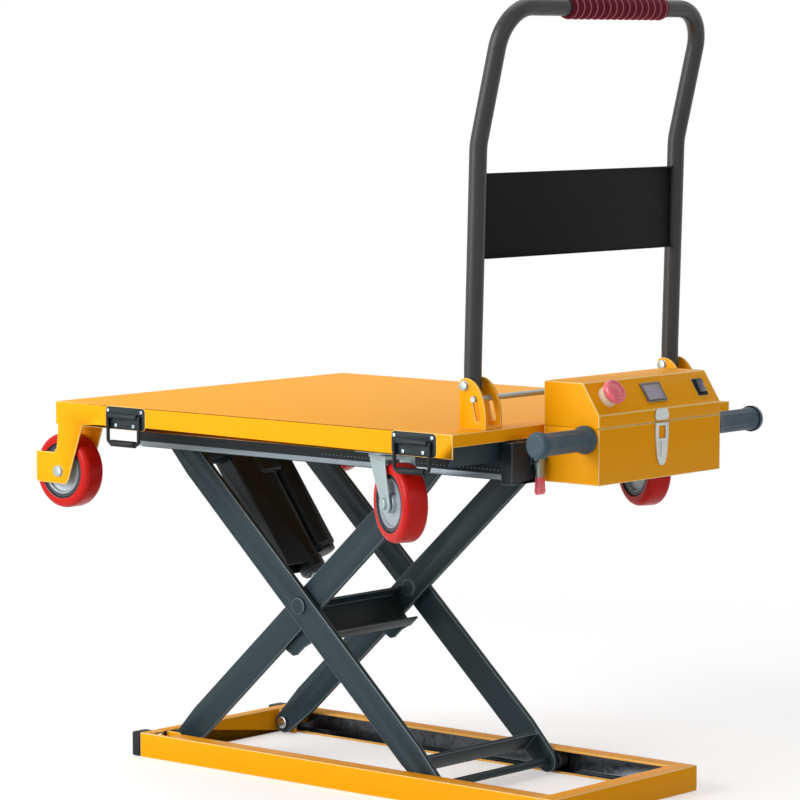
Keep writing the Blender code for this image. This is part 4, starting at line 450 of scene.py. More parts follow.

# %% [markdown]
# Most parts of the cart are folded or sawn steel whose shape the CAD already holds. Real sheet and
# bar never has knife edges, though, and it is the small bright line along each edge that makes
# metal look solid. So each such part gets a dressed copy: its loose triangles are merged and its
# flat faces made whole, a narrow bevel softens the edges, and faces that belong to another
# material, such as a zinc bolt head on a painted plate, are given it by where they lie. On most
# parts the bevels also get a paler finish of their own, so that bright line is a painted highlight.

# %% Dressed copies of CAD parts
MERGE_DISTANCE = 0.00002
FLAT_ANGLE = radians(0.6)
SHARP_ANGLE = 40.0


def body_name(node):
    """Find the body that a CAD node rides on."""
    return frame["nodes"][node]["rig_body"]


def link(name, mesh, body, slot_name, *nodes):
    """Put a mesh in the scene as a piece that rides on a body and stands for CAD nodes."""
    piece = bpy.data.objects.new(name, mesh)
    scene.collection.objects.link(piece)
    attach(piece, body)
    if nodes:
        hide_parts(*nodes)
    return piece


def smooth(mesh, angle=35.0):
    """Shade round faces smooth, and keep edges sharper than the angle."""
    mesh.shade_smooth()
    mesh.set_sharp_from_angle(angle=radians(angle))


def settled(holder):
    """Take a holder's mesh as its modifiers leave it, and remove the holder."""
    graph = bpy.context.evaluated_depsgraph_get()
    made = bpy.data.meshes.new_from_object(holder.evaluated_get(graph))
    bpy.data.objects.remove(holder)
    return made


def softened(mesh, width, edge_index=-1, least=40):
    """Bevel the edges of at least so many degrees, with their own material if given."""
    holder = bpy.data.objects.new("being_softened", mesh)
    scene.collection.objects.link(holder)
    bevel = holder.modifiers.new("soft edges", "BEVEL")
    bevel.width = width
    bevel.segments = 2
    bevel.limit_method = "ANGLE"
    bevel.angle_limit = radians(least)
    bevel.use_clamp_overlap = False
    bevel.harden_normals = True
    bevel.material = edge_index
    return settled(holder)


def sort_faces(faces, areas):
    """Give each face the material of the last area whose test its middle passes."""
    for face, middle_point in faces:
        for index, (test, other) in enumerate(areas, 1):
            if test(middle_point):
                face.material_index = index


def dress(node, surface, slot_name, width, areas=(), edge=None, cuts=(), least=40):
    """Replace a CAD node with a copy that has soft edges and its real finishes.

    areas are (test, finish) pairs, edge is the finish of the bevels, and cuts are (point, normal)
    planes that part a face where one finish ends on it."""
    # edge, where given, is paler than the part's paint: a painted highlight along the bevels.
    bm = bmesh.new()
    bm.from_mesh(frame["nodes"][node].data)
    bmesh.ops.remove_doubles(bm, verts=bm.verts, dist=MERGE_DISTANCE)
    bmesh.ops.dissolve_limit(bm, angle_limit=FLAT_ANGLE, verts=bm.verts, edges=bm.edges)
    for point, normal in cuts:
        bmesh.ops.bisect_plane(
            bm, geom=bm.verts[:] + bm.edges[:] + bm.faces[:], dist=MERGE_DISTANCE / 2,
            plane_co=point, plane_no=normal)
    for face in bm.faces:
        face.material_index = 0
    sort_faces([(face, face.calc_center_median()) for face in bm.faces], areas)
    mesh = bpy.data.meshes.new(node + "_dressed")
    bm.to_mesh(mesh)
    bm.free()
    for other in [surface] + [pair[1] for pair in areas]:
        mesh.materials.append(other)
    edge_index = -1
    if edge:
        mesh.materials.append(edge)
        edge_index = len(mesh.materials) - 1
    mesh.shade_smooth()
    if width:
        mesh = softened(mesh, width, edge_index, least)
    if edge:
        bevels = [face for face in mesh.polygons if face.material_index == edge_index]
        sort_faces([(face, face.center) for face in bevels], areas)
    smooth(mesh, SHARP_ANGLE)
    mesh.name = node + "_dressed"
    return link(node + "_dressed", mesh, body_name(node), slot_name, node)


def near_axis(place, pivot, radius):
    """Tell whether a place is within a radius of the axis along Y through a pivot."""
    return (place.x - pivot.x) ** 2 + (place.z - pivot.z) ** 2 < radius ** 2


def clear_of(place, plates):
    """Tell whether a place is outside all plates, each given by its two distances from y 0."""
    return not any(low < abs(place.y) < high for low, high in plates)


# %% [markdown]
# The base frame is powder-coated channel with a plastic plug at each far corner. The arms, their
# cross beam and the caster beams are sprayed blue-grey, and the frame under the deck is black.

# %% Base frame, arms and top frame
BAR_BEVEL = 0.0012
EAR_BEVEL = 0.0009
FRAME_BEVEL = 0.0006
PLATE_BEVEL = 0.0008
CHANNEL_LIPS = (0.1572, 0.1862)
CHANNEL_HEIGHTS = (0.0035, 0.0385)
PIN_HEAD_RADIUS = 0.0112
PIN_HEAD_END = 0.1279
RAIL_FACE = 0.1902
MOUNT_PLATE_X = 0.4028
MOUNT_PLATE_HALF = 0.157
CLOSING_PLATE_X = 0.371
CLOSING_PLATE_Y = 0.2005


def in_channel(c):
    """Tell whether a place is on the inside of a base channel, where the roller runs."""
    inside = CHANNEL_LIPS[0] < abs(c.y) < CHANNEL_LIPS[1]
    return inside and CHANNEL_HEIGHTS[0] < c.z < CHANNEL_HEIGHTS[1]


def on_base_pin(c):
    """Tell whether a place is on the head of a base pivot pin."""
    return near_axis(c, PIVOT["scissor_fold"], PIN_HEAD_RADIUS) and abs(c.y) < PIN_HEAD_END


def on_rail_face(c):
    """Tell whether a place is on the bright slide member along a top rail."""
    return abs(c.y) > RAIL_FACE


def on_mount_plate(c):
    """Tell whether a place is on the zinc plate that carries the control box."""
    return c.x > MOUNT_PLATE_X and abs(c.y) < MOUNT_PLATE_HALF


def on_closing_plate(c):
    """Tell whether a place is on the plate that closes the deck's end beside the slide."""
    return c.x > CLOSING_PLATE_X and abs(c.y) > CLOSING_PLATE_Y


# The pale finishes on the bevels here paint a highlight along the edges.
for side in ("near", "far"):
    dress("base_channel_" + side, YELLOW, "yellow_paint", BAR_BEVEL,
          [(in_channel, TRACK)], YELLOW_EDGE_HIGHLIGHT)
dress("base_right_member", YELLOW, "yellow_paint", BAR_BEVEL, edge=YELLOW_EDGE_HIGHLIGHT)
dress("base_left_member", YELLOW, "yellow_paint", EAR_BEVEL, [(on_base_pin, STEEL)], YELLOW_EDGE_HIGHLIGHT)
for side in ("near", "far"):
    dress("base_cap_" + side, BLACK_PLASTIC, "black_plastic", 0.0)
for node in ("inner_arm_near", "inner_arm_far", "outer_arm_near", "outer_arm_far",
             "inner_cross_beam"):
    dress(node, ARM_PAINT, "dark_paint", BAR_BEVEL, edge=ARM_EDGE_HIGHLIGHT)
for side in ("near", "far"):
    dress("top_rail_" + side, BLACK_PAINT, "black_paint", FRAME_BEVEL, [(on_rail_face, RAIL)])
dress("top_pivot_member", BLACK_PAINT, "black_paint", FRAME_BEVEL, edge=BLACK_EDGE_HIGHLIGHT)
dress("top_end_plate", BLACK_PAINT, "black_paint", PLATE_BEVEL,
      [(on_mount_plate, ZINC)], BLACK_EDGE_HIGHLIGHT)
for side in ("near", "far"):
    dress("deck_slide_" + side, BLACK_PAINT, "black_paint", FRAME_BEVEL,
          [(on_closing_plate, ARM_PAINT)], BLACK_EDGE_HIGHLIGHT)
print("dressed the frames")

# %% [markdown]
# The deck is one folded sheet, yellow all over, with the fork plates of the rigid wheels bent down
# from it. The chest handles' plates are black and their rivets bright. The push handle stands in
# two yellow brackets, and zinc bolts hold it.

# %% Deck and brackets
DECK_BEVEL = 0.0010
SHEET_BEVEL = 0.0007
SKIRT_FACE = 0.3628
CHEST_PLATE_LOW = 0.58
RIVET_FACE = 0.3655
RIVET_OFFSETS = (0.038, 0.020)
RIVET_RADIUS = 0.0037
KNUCKLE_HEIGHTS = (0.603, 0.6135)
AXLE_BOLT_RADIUS = 0.0098
FORK_PLATES = ((0.3594, 0.3627), (0.309, 0.3127))
HANDLE_BOLT_RADIUS = 0.0078
BRACKET_PLATES = ((0.2364, 0.2406), (0.2734, 0.2776))
CASTER_PLATE_TOP = 0.5876
CHEST_HANDLES = [PIVOT["bail_swing_near_%d" % number] for number in (1, 2)]


def on_axle(c):
    """Tell whether a place is on a rigid wheel's axle bolt."""
    on_bolt = near_axis(c, PIVOT["fixed_wheel_turn_near"], AXLE_BOLT_RADIUS)
    return on_bolt and clear_of(c, FORK_PLATES)


def on_chest_plate(c):
    """Tell whether a place is on a chest handle's plate."""
    return abs(c.y) > SKIRT_FACE and c.z > CHEST_PLATE_LOW


def on_rivet(c):
    """Tell whether a place is on a rivet of a chest handle."""
    off = min(abs(abs(c.x - pivot.x) - r) for pivot in CHEST_HANDLES for r in RIVET_OFFSETS)
    on_knuckle = KNUCKLE_HEIGHTS[0] < c.z < KNUCKLE_HEIGHTS[1]
    return abs(c.y) > RIVET_FACE and off < RIVET_RADIUS and not on_knuckle


def on_handle_bolt(c):
    """Tell whether a place is on a pivot bolt of the push handle."""
    return near_axis(c, PIVOT["handle_fold"], HANDLE_BOLT_RADIUS) and clear_of(c, BRACKET_PLATES)


def on_caster_plate(c):
    """Tell whether a place is on the zinc top plate or race of a caster."""
    return c.z < CASTER_PLATE_TOP


dress("deck_tray", YELLOW, "yellow_paint", DECK_BEVEL,
      [(on_chest_plate, BLACK_PAINT), (on_rivet, ZINC), (on_axle, ZINC)], YELLOW_EDGE_HIGHLIGHT)
for side in ("near", "far"):
    dress("handle_bracket_" + side, YELLOW, "yellow_paint", SHEET_BEVEL,
          [(on_handle_bolt, ZINC)], YELLOW_EDGE_HIGHLIGHT)
for side in ("near", "far"):
    dress("caster_mount_" + side, ARM_PAINT, "dark_paint", FRAME_BEVEL, [(on_caster_plate, ZINC)])
print("dressed the deck")

# %% [markdown]
# The control box is folded from thinner sheet and painted with the deck. Its lid slopes towards
# the operator, and carries the stop button, the charge meter and the rocker switch. A pale line,
# a painted highlight on the bevels, marks the box's folds and the seam across its end, but not
# the seam along its sides.

# %% Control box and fittings
BODY_BEVEL = 0.0014
LID_BEVEL = 0.0013
FITTING_BEVEL = 0.0005
SMALL_BEVEL = 0.0004
LID_FOLD = 25
BOX_SIDE = 0.158
SEAM_BAND = 0.004
PANEL_MID = Vector((0.498, 0.0, 0.6705))
PANEL_OUT = Vector((0.8372, 0.0, 0.5468))
PANEL_UP = Vector((-PANEL_OUT.z, 0.0, PANEL_OUT.x))
SWITCH_FRAME = (0.0125, 0.02, 0.0004)
SCREEN = (0.0195, 0.0115, 0.0027)
LOCK_TINT_Z = 0.545


def on_side_seam(c):
    """Tell whether a place is on the box's seam where it runs along a side."""
    return abs(c.y) > BOX_SIDE and abs(c.z - PIVOT["lid_open"].z) < SEAM_BAND


def on_panel(c, y):
    """Measure a place on the sloping panel from a point at y: across, up and out."""
    local = c - PANEL_MID
    return abs(c.y - y), abs(local.dot(PANEL_UP)), local.dot(PANEL_OUT)


def on_switch_frame(c):
    """Tell whether a place is on the frame that the rocker switch sits in."""
    across, up, out = on_panel(c, PIVOT["rocker_tip"].y)
    return across < SWITCH_FRAME[0] and up < SWITCH_FRAME[1] and out > SWITCH_FRAME[2]


def on_screen(c):
    """Tell whether a place is on the meter's sunken screen."""
    across, up, out = on_panel(c, 0.0)
    return across < SCREEN[0] and up < SCREEN[1] and out < SCREEN[2]


def on_lock_grip(c):
    """Tell whether a place is on the red lower half of the slide lock."""
    return c.z < LOCK_TINT_Z


dress("control_box_body", YELLOW, "yellow_paint", BODY_BEVEL, [(on_side_seam, YELLOW)], YELLOW_EDGE_HIGHLIGHT)
dress("control_box_lid", YELLOW, "yellow_paint", LID_BEVEL,
      [(on_switch_frame, BLACK_PLASTIC), (on_side_seam, YELLOW)], YELLOW_EDGE_HIGHLIGHT, least=LID_FOLD)
dress("handle_panel", PANEL_PAINT, "black_paint", FRAME_BEVEL)
dress("battery_pack", CASE_GREY, "battery_case", 0.0)
dress("slide_lock_lever", ZINC, "zinc_steel", FITTING_BEVEL, [(on_lock_grip, STOP_RED)],
      cuts=[((0.0, 0.0, LOCK_TINT_Z), (0.0, 0.0, 1.0))])
dress("latch_catch", LATCH_METAL, "zinc_steel", FITTING_BEVEL)
dress("latch_lever", LATCH_METAL, "zinc_steel", SMALL_BEVEL)
dress("battery_meter", METER_GREY, "meter_plastic", FITTING_BEVEL,
      [(on_screen, METER_SCREEN)], PALE_EDGE)
dress("rocker_switch", SWITCH_BLUE, "switch_plastic", SMALL_BEVEL)
dress("actuator_housing", BLACK_PAINT, "black_paint", PLATE_BEVEL, edge=BLACK_EDGE_HIGHLIGHT)
for side in ("near", "far"):
    dress("caster_fork_" + side, ZINC, "zinc_steel", SHEET_BEVEL)
print("dressed the box and fittings")

# %% [markdown]
# Round bars that were turned or drawn need no bevel: the CAD mesh stays, and its material slots
# take the finish.

# %% Finishes on CAD parts that stay
STAYING = {
    "inner_roller_shaft": ARM_PAINT, "outer_roller_shaft": ARM_PAINT, "outer_cross_tube": ARM_PAINT,
    "base_roller_near": NYLON, "base_roller_far": NYLON,
    "top_roller_near": NYLON, "top_roller_far": NYLON,
    "actuator_rod": STEEL, "handle_lock_rod": ZINC, "estop_collar": CREAM,
}
for node, surface in STAYING.items():
    mesh = frame["nodes"][node].data
    if not mesh.materials:
        mesh.materials.append(surface)
    for index in range(len(mesh.materials)):
        mesh.materials[index] = surface
print("CAD parts that stay:", len(STAYING))

# %% [markdown]
# A wheel is a turned shape, so its outline is drawn once in half section and spun. The tyre is
# cast polyurethane, with a smooth crowned tread and rounded shoulders. The hub is a pressed disc
# with a raised boss and a dark rim.

# %% Turned shapes
ORIGIN = Vector((0.0, 0.0, 0.0))


def turned(profile, centre, count=64):
    """Spin a closed (radius, along Y) outline about an axis along Y, as a closed mesh."""
    bm = bmesh.new()
    turns = [(cos(2 * pi * k / count), sin(2 * pi * k / count)) for k in range(count)]
    rings = []
    for radius, along in profile:
        y = centre.y + along
        if radius:
            rings.append([
                bm.verts.new((centre.x + radius * c, y, centre.z + radius * s)) for c, s in turns])
        else:
            rings.append([bm.verts.new((centre.x, y, centre.z))])
    pairs = list(zip(rings, rings[1:]))
    if len(rings[0]) > 1:
        pairs.append((rings[-1], rings[0]))
    for one, two in pairs:
        if len(one) == 1 and len(two) == 1:
            continue
        for k in range(count):
            m = (k + 1) % count
            if len(one) == 1:
                bm.faces.new((one[0], two[k], two[m]))
            elif len(two) == 1:
                bm.faces.new((one[k], one[m], two[0]))
            else:
                bm.faces.new((one[k], one[m], two[m], two[k]))
    bmesh.ops.recalc_face_normals(bm, faces=bm.faces)
    return bm


def arc(centre, radius, start, end, steps):
    """List points along an arc, angles in degrees."""
    angles = [radians(start + (end - start) * k / steps) for k in range(steps + 1)]
    return [(centre[0] + radius * cos(a), centre[1] + radius * sin(a)) for a in angles]


def mirrored(outline):
    """Turn an outline's points round to the other side of the middle, in reverse order."""
    return [(radius, -along) for radius, along in reversed(outline)]


def to_mesh(bm, name, surface, angle=35.0):
    """Turn a bmesh into a shaded mesh with one material."""
    mesh = bpy.data.meshes.new(name)
    bm.to_mesh(mesh)
    bm.free()
    mesh.materials.append(surface)
    smooth(mesh, angle)
    return mesh


def box_of(node):
    """Find the middle of a CAD node's box and its half size."""
    low, high = (Vector(corner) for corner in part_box(node))
    return (low + high) / 2, (high - low) / 2


def painted(mesh, other, test):
    """Give a mesh a second finish on the faces whose middle passes a test."""
    mesh.materials.append(other)
    for face in mesh.polygons:
        if test(face.center):
            face.material_index = len(mesh.materials) - 1


# %% Wheels
TREAD_RADIUS = 0.0625
HALF_TREAD = 0.021
SEAT_RADIUS = 0.0451
SHOULDER = 0.0100
SEAT_ROUND = 0.0028
RIM_DEPTH = 0.0016
RIM_FROM = 0.0383
CASTER_REST = radians(-24.0)

half_tyre = arc((TREAD_RADIUS - SHOULDER, HALF_TREAD - SHOULDER), SHOULDER, 6, 90, 8)
half_tyre += arc((SEAT_RADIUS + SEAT_ROUND, HALF_TREAD - SEAT_ROUND), SEAT_ROUND, 90, 180, 4)
tyre_outline = mirrored(half_tyre) + [(TREAD_RADIUS, 0.0)] + half_tyre
half_hub = [
    (0.0446, 0.0180), (0.0442, 0.0187), (0.0385, 0.0187), (0.0370, 0.0182), (0.0345, 0.0140),
    (0.0320, 0.0132), (0.0180, 0.0132), (0.0155, 0.0140), (0.0150, 0.0200), (0.0140, 0.0208),
    (0.0064, 0.0208),
]
hub_outline = mirrored(half_hub) + half_hub


def on_rim_seat(c):
    """Tell whether a place is on the dark rim that shows inside the tyre."""
    return near_axis(c, ORIGIN, SEAT_RADIUS + RIM_DEPTH)


def on_rim(c):
    """Tell whether a place is on the hub's dark outer rim."""
    return not near_axis(c, ORIGIN, RIM_FROM)


for place in ("fixed", "caster"):
    for side in ("near", "far"):
        tyre_node = "%s_tyre_%s" % (place, side)
        hub_node = "%s_hub_%s" % (place, side)
        tyre = to_mesh(turned(tyre_outline, ORIGIN, 72), tyre_node + "_cast", TYRE_RED)
        hub = to_mesh(turned(hub_outline, ORIGIN, 64), hub_node + "_cast", HUB_GREY)
        painted(tyre, RIM_DARK, on_rim_seat)
        painted(hub, RIM_DARK, on_rim)
        seat = Matrix.Translation(box_of(tyre_node)[0])
        if place == "caster":
            seat = seat @ Matrix.Rotation(CASTER_REST, 4, "Z")
        tyre.transform(seat)
        hub.transform(seat)
        link(tyre_node + "_cast", tyre, body_name(tyre_node), "tyre_red", tyre_node)
        link(hub_node + "_cast", hub, body_name(hub_node), "hub_grey", hub_node)
print("wheels: 4")

# %% [markdown]
# The push handle is one bent steel tube: a path of straight runs, rounded at each corner by an
# arc, is swept with a ring and a bore. The ends are left open, as sawn tube is.

# %% Push handle tube
HANDLE_Y = 0.257
TUBE_RADIUS = 0.014
TUBE_WALL = 0.002
FOOT_DROP = 0.016
FOOT_RISE = 0.03
BEND_Z = 1.062
LOWER_LEAN = 0.010
TOP_Z = 1.274
TOP_LEAN = 0.062
LEAN_BEND = 0.1
TOP_BEND = 0.065


def rounded_path(corners, radii, steps):
    """Round a path's inner corners with arcs of the given radii."""
    corners = [Vector(c) for c in corners]
    path = [corners[0]]
    for before, corner, after, radius in zip(corners, corners[1:], corners[2:], radii):
        back = (before - corner).normalized()
        on = (after - corner).normalized()
        half_angle = back.angle(on) / 2
        centre = corner + (back + on).normalized() * (radius / sin(half_angle))
        cut = radius * cos(half_angle) / sin(half_angle)
        start = corner + back * cut - centre
        end = corner + on * cut - centre
        swing = start.angle(end)
        for k in range(steps + 1):
            t = k / steps
            share = (sin((1 - t) * swing) * start + sin(t * swing) * end) / sin(swing)
            path.append(centre + share)
    path.append(corners[-1])
    return path


def swept(path, radius, bore=0.0, count=24, first_side=Vector((1, 0, 0))):
    """Sweep a round bar, or a pipe with a bore, along a path."""
    bm = bmesh.new()
    turns = [(cos(2 * pi * k / count), sin(2 * pi * k / count)) for k in range(count)]
    side = first_side
    skin, inside = [], []
    for index, point in enumerate(path):
        ahead = path[min(index + 1, len(path) - 1)] - path[max(index - 1, 0)]
        ahead.normalize()
        side = (side - side.dot(ahead) * ahead).normalized()
        other = ahead.cross(side)
        for rings, size in ((skin, radius), (inside, bore)):
            if size:
                rings.append([
                    bm.verts.new(point + size * (c * side + s * other)) for c, s in turns])
    for rings in (skin, inside):
        for one, two in zip(rings, rings[1:]):
            for k in range(count):
                m = (k + 1) % count
                bm.faces.new((one[k], one[m], two[m], two[k]))
    for end in (0, -1):
        if not bore:
            bm.faces.new(skin[end])
            continue
        for k in range(count):
            m = (k + 1) % count
            bm.faces.new((skin[end][k], skin[end][m], inside[end][m], inside[end][k]))
    bmesh.ops.recalc_face_normals(bm, faces=bm.faces)
    return bm


foot = PIVOT["handle_fold"]
near_leg = [
    (foot.x, -HANDLE_Y, foot.z - FOOT_DROP), (foot.x, -HANDLE_Y, foot.z + FOOT_RISE),
    (foot.x + LOWER_LEAN, -HANDLE_Y, BEND_Z), (foot.x + TOP_LEAN, -HANDLE_Y, TOP_Z),
]
far_leg = [(x, -y, z) for x, y, z in reversed(near_leg)]
bends = [LEAN_BEND, LEAN_BEND, TOP_BEND]
handle_path = rounded_path(near_leg + far_leg, bends + bends[::-1], 12)
bent = swept(handle_path, TUBE_RADIUS, TUBE_RADIUS - TUBE_WALL, 32)
tube = to_mesh(bent, "handle_tube_bent", TUBE_PAINT)
link("handle_tube_bent", tube, "push_handle", "tube_paint", "push_handle_tube")
print("handle path points:", len(handle_path))

# %% [markdown]
# The foam sleeve on the bar is a turned tube with rounded ends. The ribs round it all have one
# shape and one pitch, which is work for Geometry Nodes: a line of points carries one ring, and the
# tree ends by making the copies real and giving them their finish. Named inputs hold the sizes, so
# the same tree also sets the balls along the slides further down.

# %% Geometry Nodes row
ROW_INPUTS = (
    ("Count", "NodeSocketInt"), ("Start", "NodeSocketVector"), ("Step", "NodeSocketVector"),
    ("Radius", "NodeSocketFloat"), ("Thickness", "NodeSocketFloat"),
    ("Finish", "NodeSocketMaterial"),
)


def node_row(name, shape_maker):
    """Start a tree that puts a shape on a line of points, with named inputs for its sizes."""
    tree = bpy.data.node_groups.new(name, "GeometryNodeTree")
    tree.interface.new_socket(name="Geometry", in_out="OUTPUT", socket_type="NodeSocketGeometry")
    for label, kind in ROW_INPUTS:
        tree.interface.new_socket(name=label, in_out="INPUT", socket_type=kind)
    given = tree.nodes.new("NodeGroupInput")
    made = tree.nodes.new("NodeGroupOutput")
    line = tree.nodes.new("GeometryNodeMeshLine")
    line.mode = "OFFSET"
    tree.links.new(given.outputs["Count"], line.inputs["Count"])
    tree.links.new(given.outputs["Start"], line.inputs["Start Location"])
    tree.links.new(given.outputs["Step"], line.inputs["Offset"])
    copies = tree.nodes.new("GeometryNodeInstanceOnPoints")
    tree.links.new(line.outputs["Mesh"], copies.inputs["Points"])
    tree.links.new(shape_maker(tree, given), copies.inputs["Instance"])
    real = tree.nodes.new("GeometryNodeRealizeInstances")
    tree.links.new(copies.outputs["Instances"], real.inputs["Geometry"])
    shaded = tree.nodes.new("GeometryNodeSetMaterial")
    tree.links.new(real.outputs["Geometry"], shaded.inputs["Geometry"])
    tree.links.new(given.outputs["Finish"], shaded.inputs["Material"])
    tree.links.new(shaded.outputs["Geometry"], made.inputs["Geometry"])
    return tree


def ring_shape(tree, given):
    """Make a ring about the Y axis: a circle swept with a small round section."""
    circle = tree.nodes.new("GeometryNodeCurvePrimitiveCircle")
    circle.inputs["Resolution"].default_value = 40
    tree.links.new(given.outputs["Radius"], circle.inputs["Radius"])
    section = tree.nodes.new("GeometryNodeCurvePrimitiveCircle")
    section.inputs["Resolution"].default_value = 8
    tree.links.new(given.outputs["Thickness"], section.inputs["Radius"])
    sweep = tree.nodes.new("GeometryNodeCurveToMesh")
    tree.links.new(circle.outputs["Curve"], sweep.inputs["Curve"])
    tree.links.new(section.outputs["Curve"], sweep.inputs["Profile Curve"])
    turn = tree.nodes.new("GeometryNodeTransform")
    turn.inputs["Rotation"].default_value = (radians(90), 0.0, 0.0)
    tree.links.new(sweep.outputs["Mesh"], turn.inputs["Geometry"])
    return turn.outputs["Geometry"]


def ball_shape(tree, given):
    """Make a small ball of few faces."""
    ball = tree.nodes.new("GeometryNodeMeshUVSphere")
    ball.inputs["Segments"].default_value = 8
    ball.inputs["Rings"].default_value = 5
    tree.links.new(given.outputs["Radius"], ball.inputs["Radius"])
    return ball.outputs["Mesh"]


def grown(tree, name, values):
    """Run a tree on an empty piece with the given inputs, and return its plain mesh."""
    holder = bpy.data.objects.new("being_grown", bpy.data.meshes.new("seed"))
    scene.collection.objects.link(holder)
    grower = holder.modifiers.new(name, "NODES")
    grower.node_group = tree
    for item in tree.interface.items_tree:
        if item.in_out == "INPUT" and item.name in values:
            grower[item.identifier] = values[item.name]
    mesh = settled(holder)
    mesh.name = name
    smooth(mesh, 60.0)
    return mesh


# %% Foam grip
RIBS = 15
RIB_RADIUS = 0.0177
RIB_THICKNESS = 0.0017
SLEEVE_RADIUS = 0.0182
SLEEVE_END_RADIUS = 0.0165
SLEEVE_TAPER = 0.003
SLEEVE_BORE = TUBE_RADIUS + 0.0003

grip_centre, grip_reach = box_of("handle_grip")
grip_half = grip_reach.y
rib_pitch = 2 * grip_half / RIBS
foam_end = [
    (SLEEVE_RADIUS, grip_half - SLEEVE_TAPER), (SLEEVE_END_RADIUS, grip_half),
    (SLEEVE_BORE, grip_half),
]
foam = to_mesh(turned(mirrored(foam_end) + foam_end, grip_centre, 48), "foam_grip", FOAM, 50.0)
link("foam_grip", foam, "push_handle", "foam", "handle_grip")
# The ribs take the paler rose finish: a painted highlight on each crest.
ribs = grown(node_row("ring_row", ring_shape), "foam_grip_ribs", {
    "Count": RIBS, "Start": tuple(grip_centre + Vector((0.0, rib_pitch / 2 - grip_half, 0.0))),
    "Step": (0.0, rib_pitch, 0.0), "Radius": RIB_RADIUS, "Thickness": RIB_THICKNESS,
    "Finish": FOAM_RIDGE_HIGHLIGHT})
link("foam_grip_ribs", ribs, "push_handle", "foam")
print("ribs on the grip:", RIBS, "faces:", len(ribs.polygons))

# %% [markdown]
# Between the two members of each slide run steel balls, held in a row by their cage. They show as a
# line of bright dots low on the black outer member, and are made by the same tree as the ribs, with
# a ball in place of the ring.

# %% Slide balls
BALL_RADIUS = 0.0012
BALL_PITCH = 0.0078
BALL_FROM = -0.02
BALL_TO = 0.36
BALL_Y = 0.1995
BALL_Z = 0.5535

ball_row = node_row("ball_row", ball_shape)
for side, sign in (("near", -1), ("far", 1)):
    balls = grown(ball_row, "slide_balls_" + side, {
        "Count": int((BALL_TO - BALL_FROM) / BALL_PITCH), "Step": (BALL_PITCH, 0.0, 0.0),
        "Start": (BALL_FROM, sign * BALL_Y, BALL_Z), "Radius": BALL_RADIUS, "Finish": RAIL})
    link("slide_balls_" + side, balls, "deck", "steel")
    print("slide balls", side, "faces:", len(balls.polygons))

# %% [markdown]
# The two rubber grips beside the box sit on one bar. A flange at each end stops the hand, and the
# length between them has long shallow flutes, made by drawing the turned mesh inwards in twelve
# waves round its skin.

# %% Side grips
BOX_FACE = 0.1603
GRIP_LENGTH = 0.128
GRIP_END = BOX_FACE + GRIP_LENGTH
GRIP_RADIUS = 0.0178
FLANGE_RADIUS = 0.019
FLANGE_WIDTH = 0.012
FLANGE_ROUND = 0.003
FLUTES = 12
FLUTE_DIP = 0.0013
FLUTE_MARGIN = 0.026
FLUTE_FROM_RADIUS = 0.015

bar_centre, bar_reach = box_of("side_grip_bar")
half_bar = [(0.0080, BOX_FACE)]
half_bar += arc((FLANGE_RADIUS, BOX_FACE + FLANGE_ROUND), FLANGE_ROUND, -90, 0, 4)
half_bar += arc((FLANGE_RADIUS, BOX_FACE + FLANGE_WIDTH - FLANGE_ROUND), FLANGE_ROUND, 0, 60, 3)
half_bar += [(0.0185, BOX_FACE + 0.0150), (0.0180, BOX_FACE + 0.0220)]
half_bar += [(GRIP_RADIUS, BOX_FACE + 0.030 + 0.066 * k / 6) for k in range(7)]
half_bar += [(0.0182, GRIP_END - 0.024), (0.0190, GRIP_END - 0.018)]
half_bar += arc((0.0170, GRIP_END - 0.011), 0.0042, 60, 0, 3)
half_bar += arc((0.0150, GRIP_END - 0.006), 0.006, 20, 90, 5)
half_bar += [(0.0060, GRIP_END - 0.0004), (0.0, GRIP_END - 0.0006)]
rubber = turned(mirrored(half_bar) + half_bar, bar_centre, 64)
for vert in rubber.verts:
    out = Vector((vert.co.x - bar_centre.x, 0.0, vert.co.z - bar_centre.z))
    in_flutes = BOX_FACE + FLUTE_MARGIN < abs(vert.co.y) < GRIP_END - FLUTE_MARGIN
    if in_flutes and out.length > FLUTE_FROM_RADIUS:
        turn = Vector((1.0, 0.0, 0.0)).angle(out)
        vert.co -= out.normalized() * FLUTE_DIP * (0.5 + 0.5 * cos(turn * FLUTES))
side_grips = to_mesh(rubber, "rubber_side_grips", GRIP_RUBBER, 50.0)
link("rubber_side_grips", side_grips, "top_frame", "grip_rubber", "side_grip_bar")
print("side grips on one bar:", round(2 * bar_reach.y, 3), "m")

# %% [markdown]
# The chest handles' bails are bent wire with a plastic sleeve on the grip. The legs and the sleeve
# are two swept bars joined in one mesh, and hang from the joint's axis.

# %% Chest handle bails
BAIL_HALF = 0.035
BAIL_DROP = 0.045
BAIL_END = 0.0012
BAIL_WIRE = 0.003
BAIL_BEND = 0.007
BAIL_SLEEVE = 0.0055
SLEEVE_INSET = 0.008
WIRE_BEVEL = 0.0005

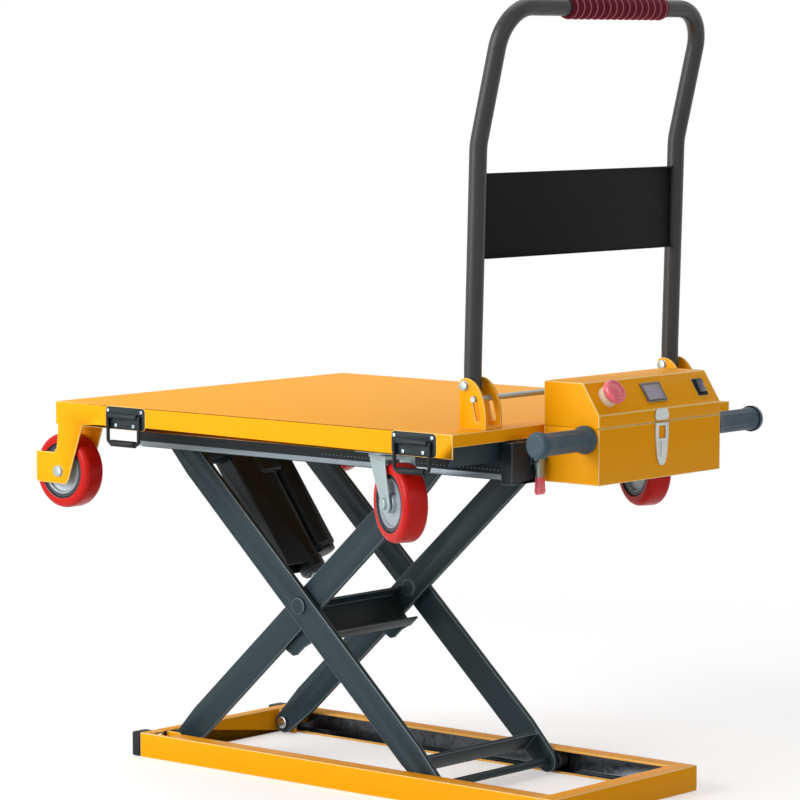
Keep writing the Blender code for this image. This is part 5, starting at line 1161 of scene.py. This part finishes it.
for side in ("near", "far"):
    for number in (1, 2):
        node = "chest_bail_%s_%d" % (side, number)
        pivot = PIVOT["bail_swing_%s_%d" % (side, number)]
        corners = [pivot + Vector((x, 0.0, z)) for x, z in (
            (-BAIL_HALF, BAIL_END), (-BAIL_HALF, -BAIL_DROP),
            (BAIL_HALF, -BAIL_DROP), (BAIL_HALF, BAIL_END))]
        bail = swept(rounded_path(corners, [BAIL_BEND, BAIL_BEND], 8), BAIL_WIRE, count=16)
        inset = Vector((SLEEVE_INSET, 0.0, 0.0))
        ends = [corners[1] + inset, corners[2] - inset]
        sleeve = swept(ends, BAIL_SLEEVE, first_side=Vector((0, 1, 0)))
        sleeve_mesh = bpy.data.meshes.new("sleeve")
        sleeve.to_mesh(sleeve_mesh)
        sleeve.free()
        bail.from_mesh(sleeve_mesh)
        mesh = softened(to_mesh(bail, node + "_wire", BLACK_PLASTIC, 50.0), WIRE_BEVEL)
        smooth(mesh, 50.0)
        link(node + "_wire", mesh, body_name(node), "black_plastic", node)
print("bails: 4")

# %% [markdown]
# The emergency stop has a mushroom head with a raised ring and a dished top. It is turned about the
# Y axis like the wheels, and its mesh is then leant on to the sloping panel.

# %% Emergency stop head
head_outline = [
    (0.0088, 0.0113), (0.0088, 0.0158), (0.0178, 0.0158), (0.0196, 0.0166), (0.0200, 0.0185),
    (0.0200, 0.0222), (0.0194, 0.0243), (0.0180, 0.0257), (0.0162, 0.0262), (0.0148, 0.0258),
    (0.0140, 0.0246), (0.0128, 0.0242), (0.0115, 0.0250), (0.0080, 0.0262), (0.0040, 0.0269),
    (0.0, 0.0271), (0.0, 0.0113),
]
head = to_mesh(turned(head_outline, ORIGIN, 48), "stop_button_head", STOP_RED, 30.0)
lean = Vector((0.0, 1.0, 0.0)).rotation_difference(PANEL_OUT).to_matrix().to_4x4()
head_seat = PANEL_MID + Vector((0.0, PIVOT["estop_push"].y, 0.0))
head.transform(Matrix.Translation(head_seat) @ lean)
link("stop_button_head", head, body_name("estop_button"), "stop_red", "estop_button")
print("stop button across:", 2 * max(radius for radius, along in head_outline), "m")
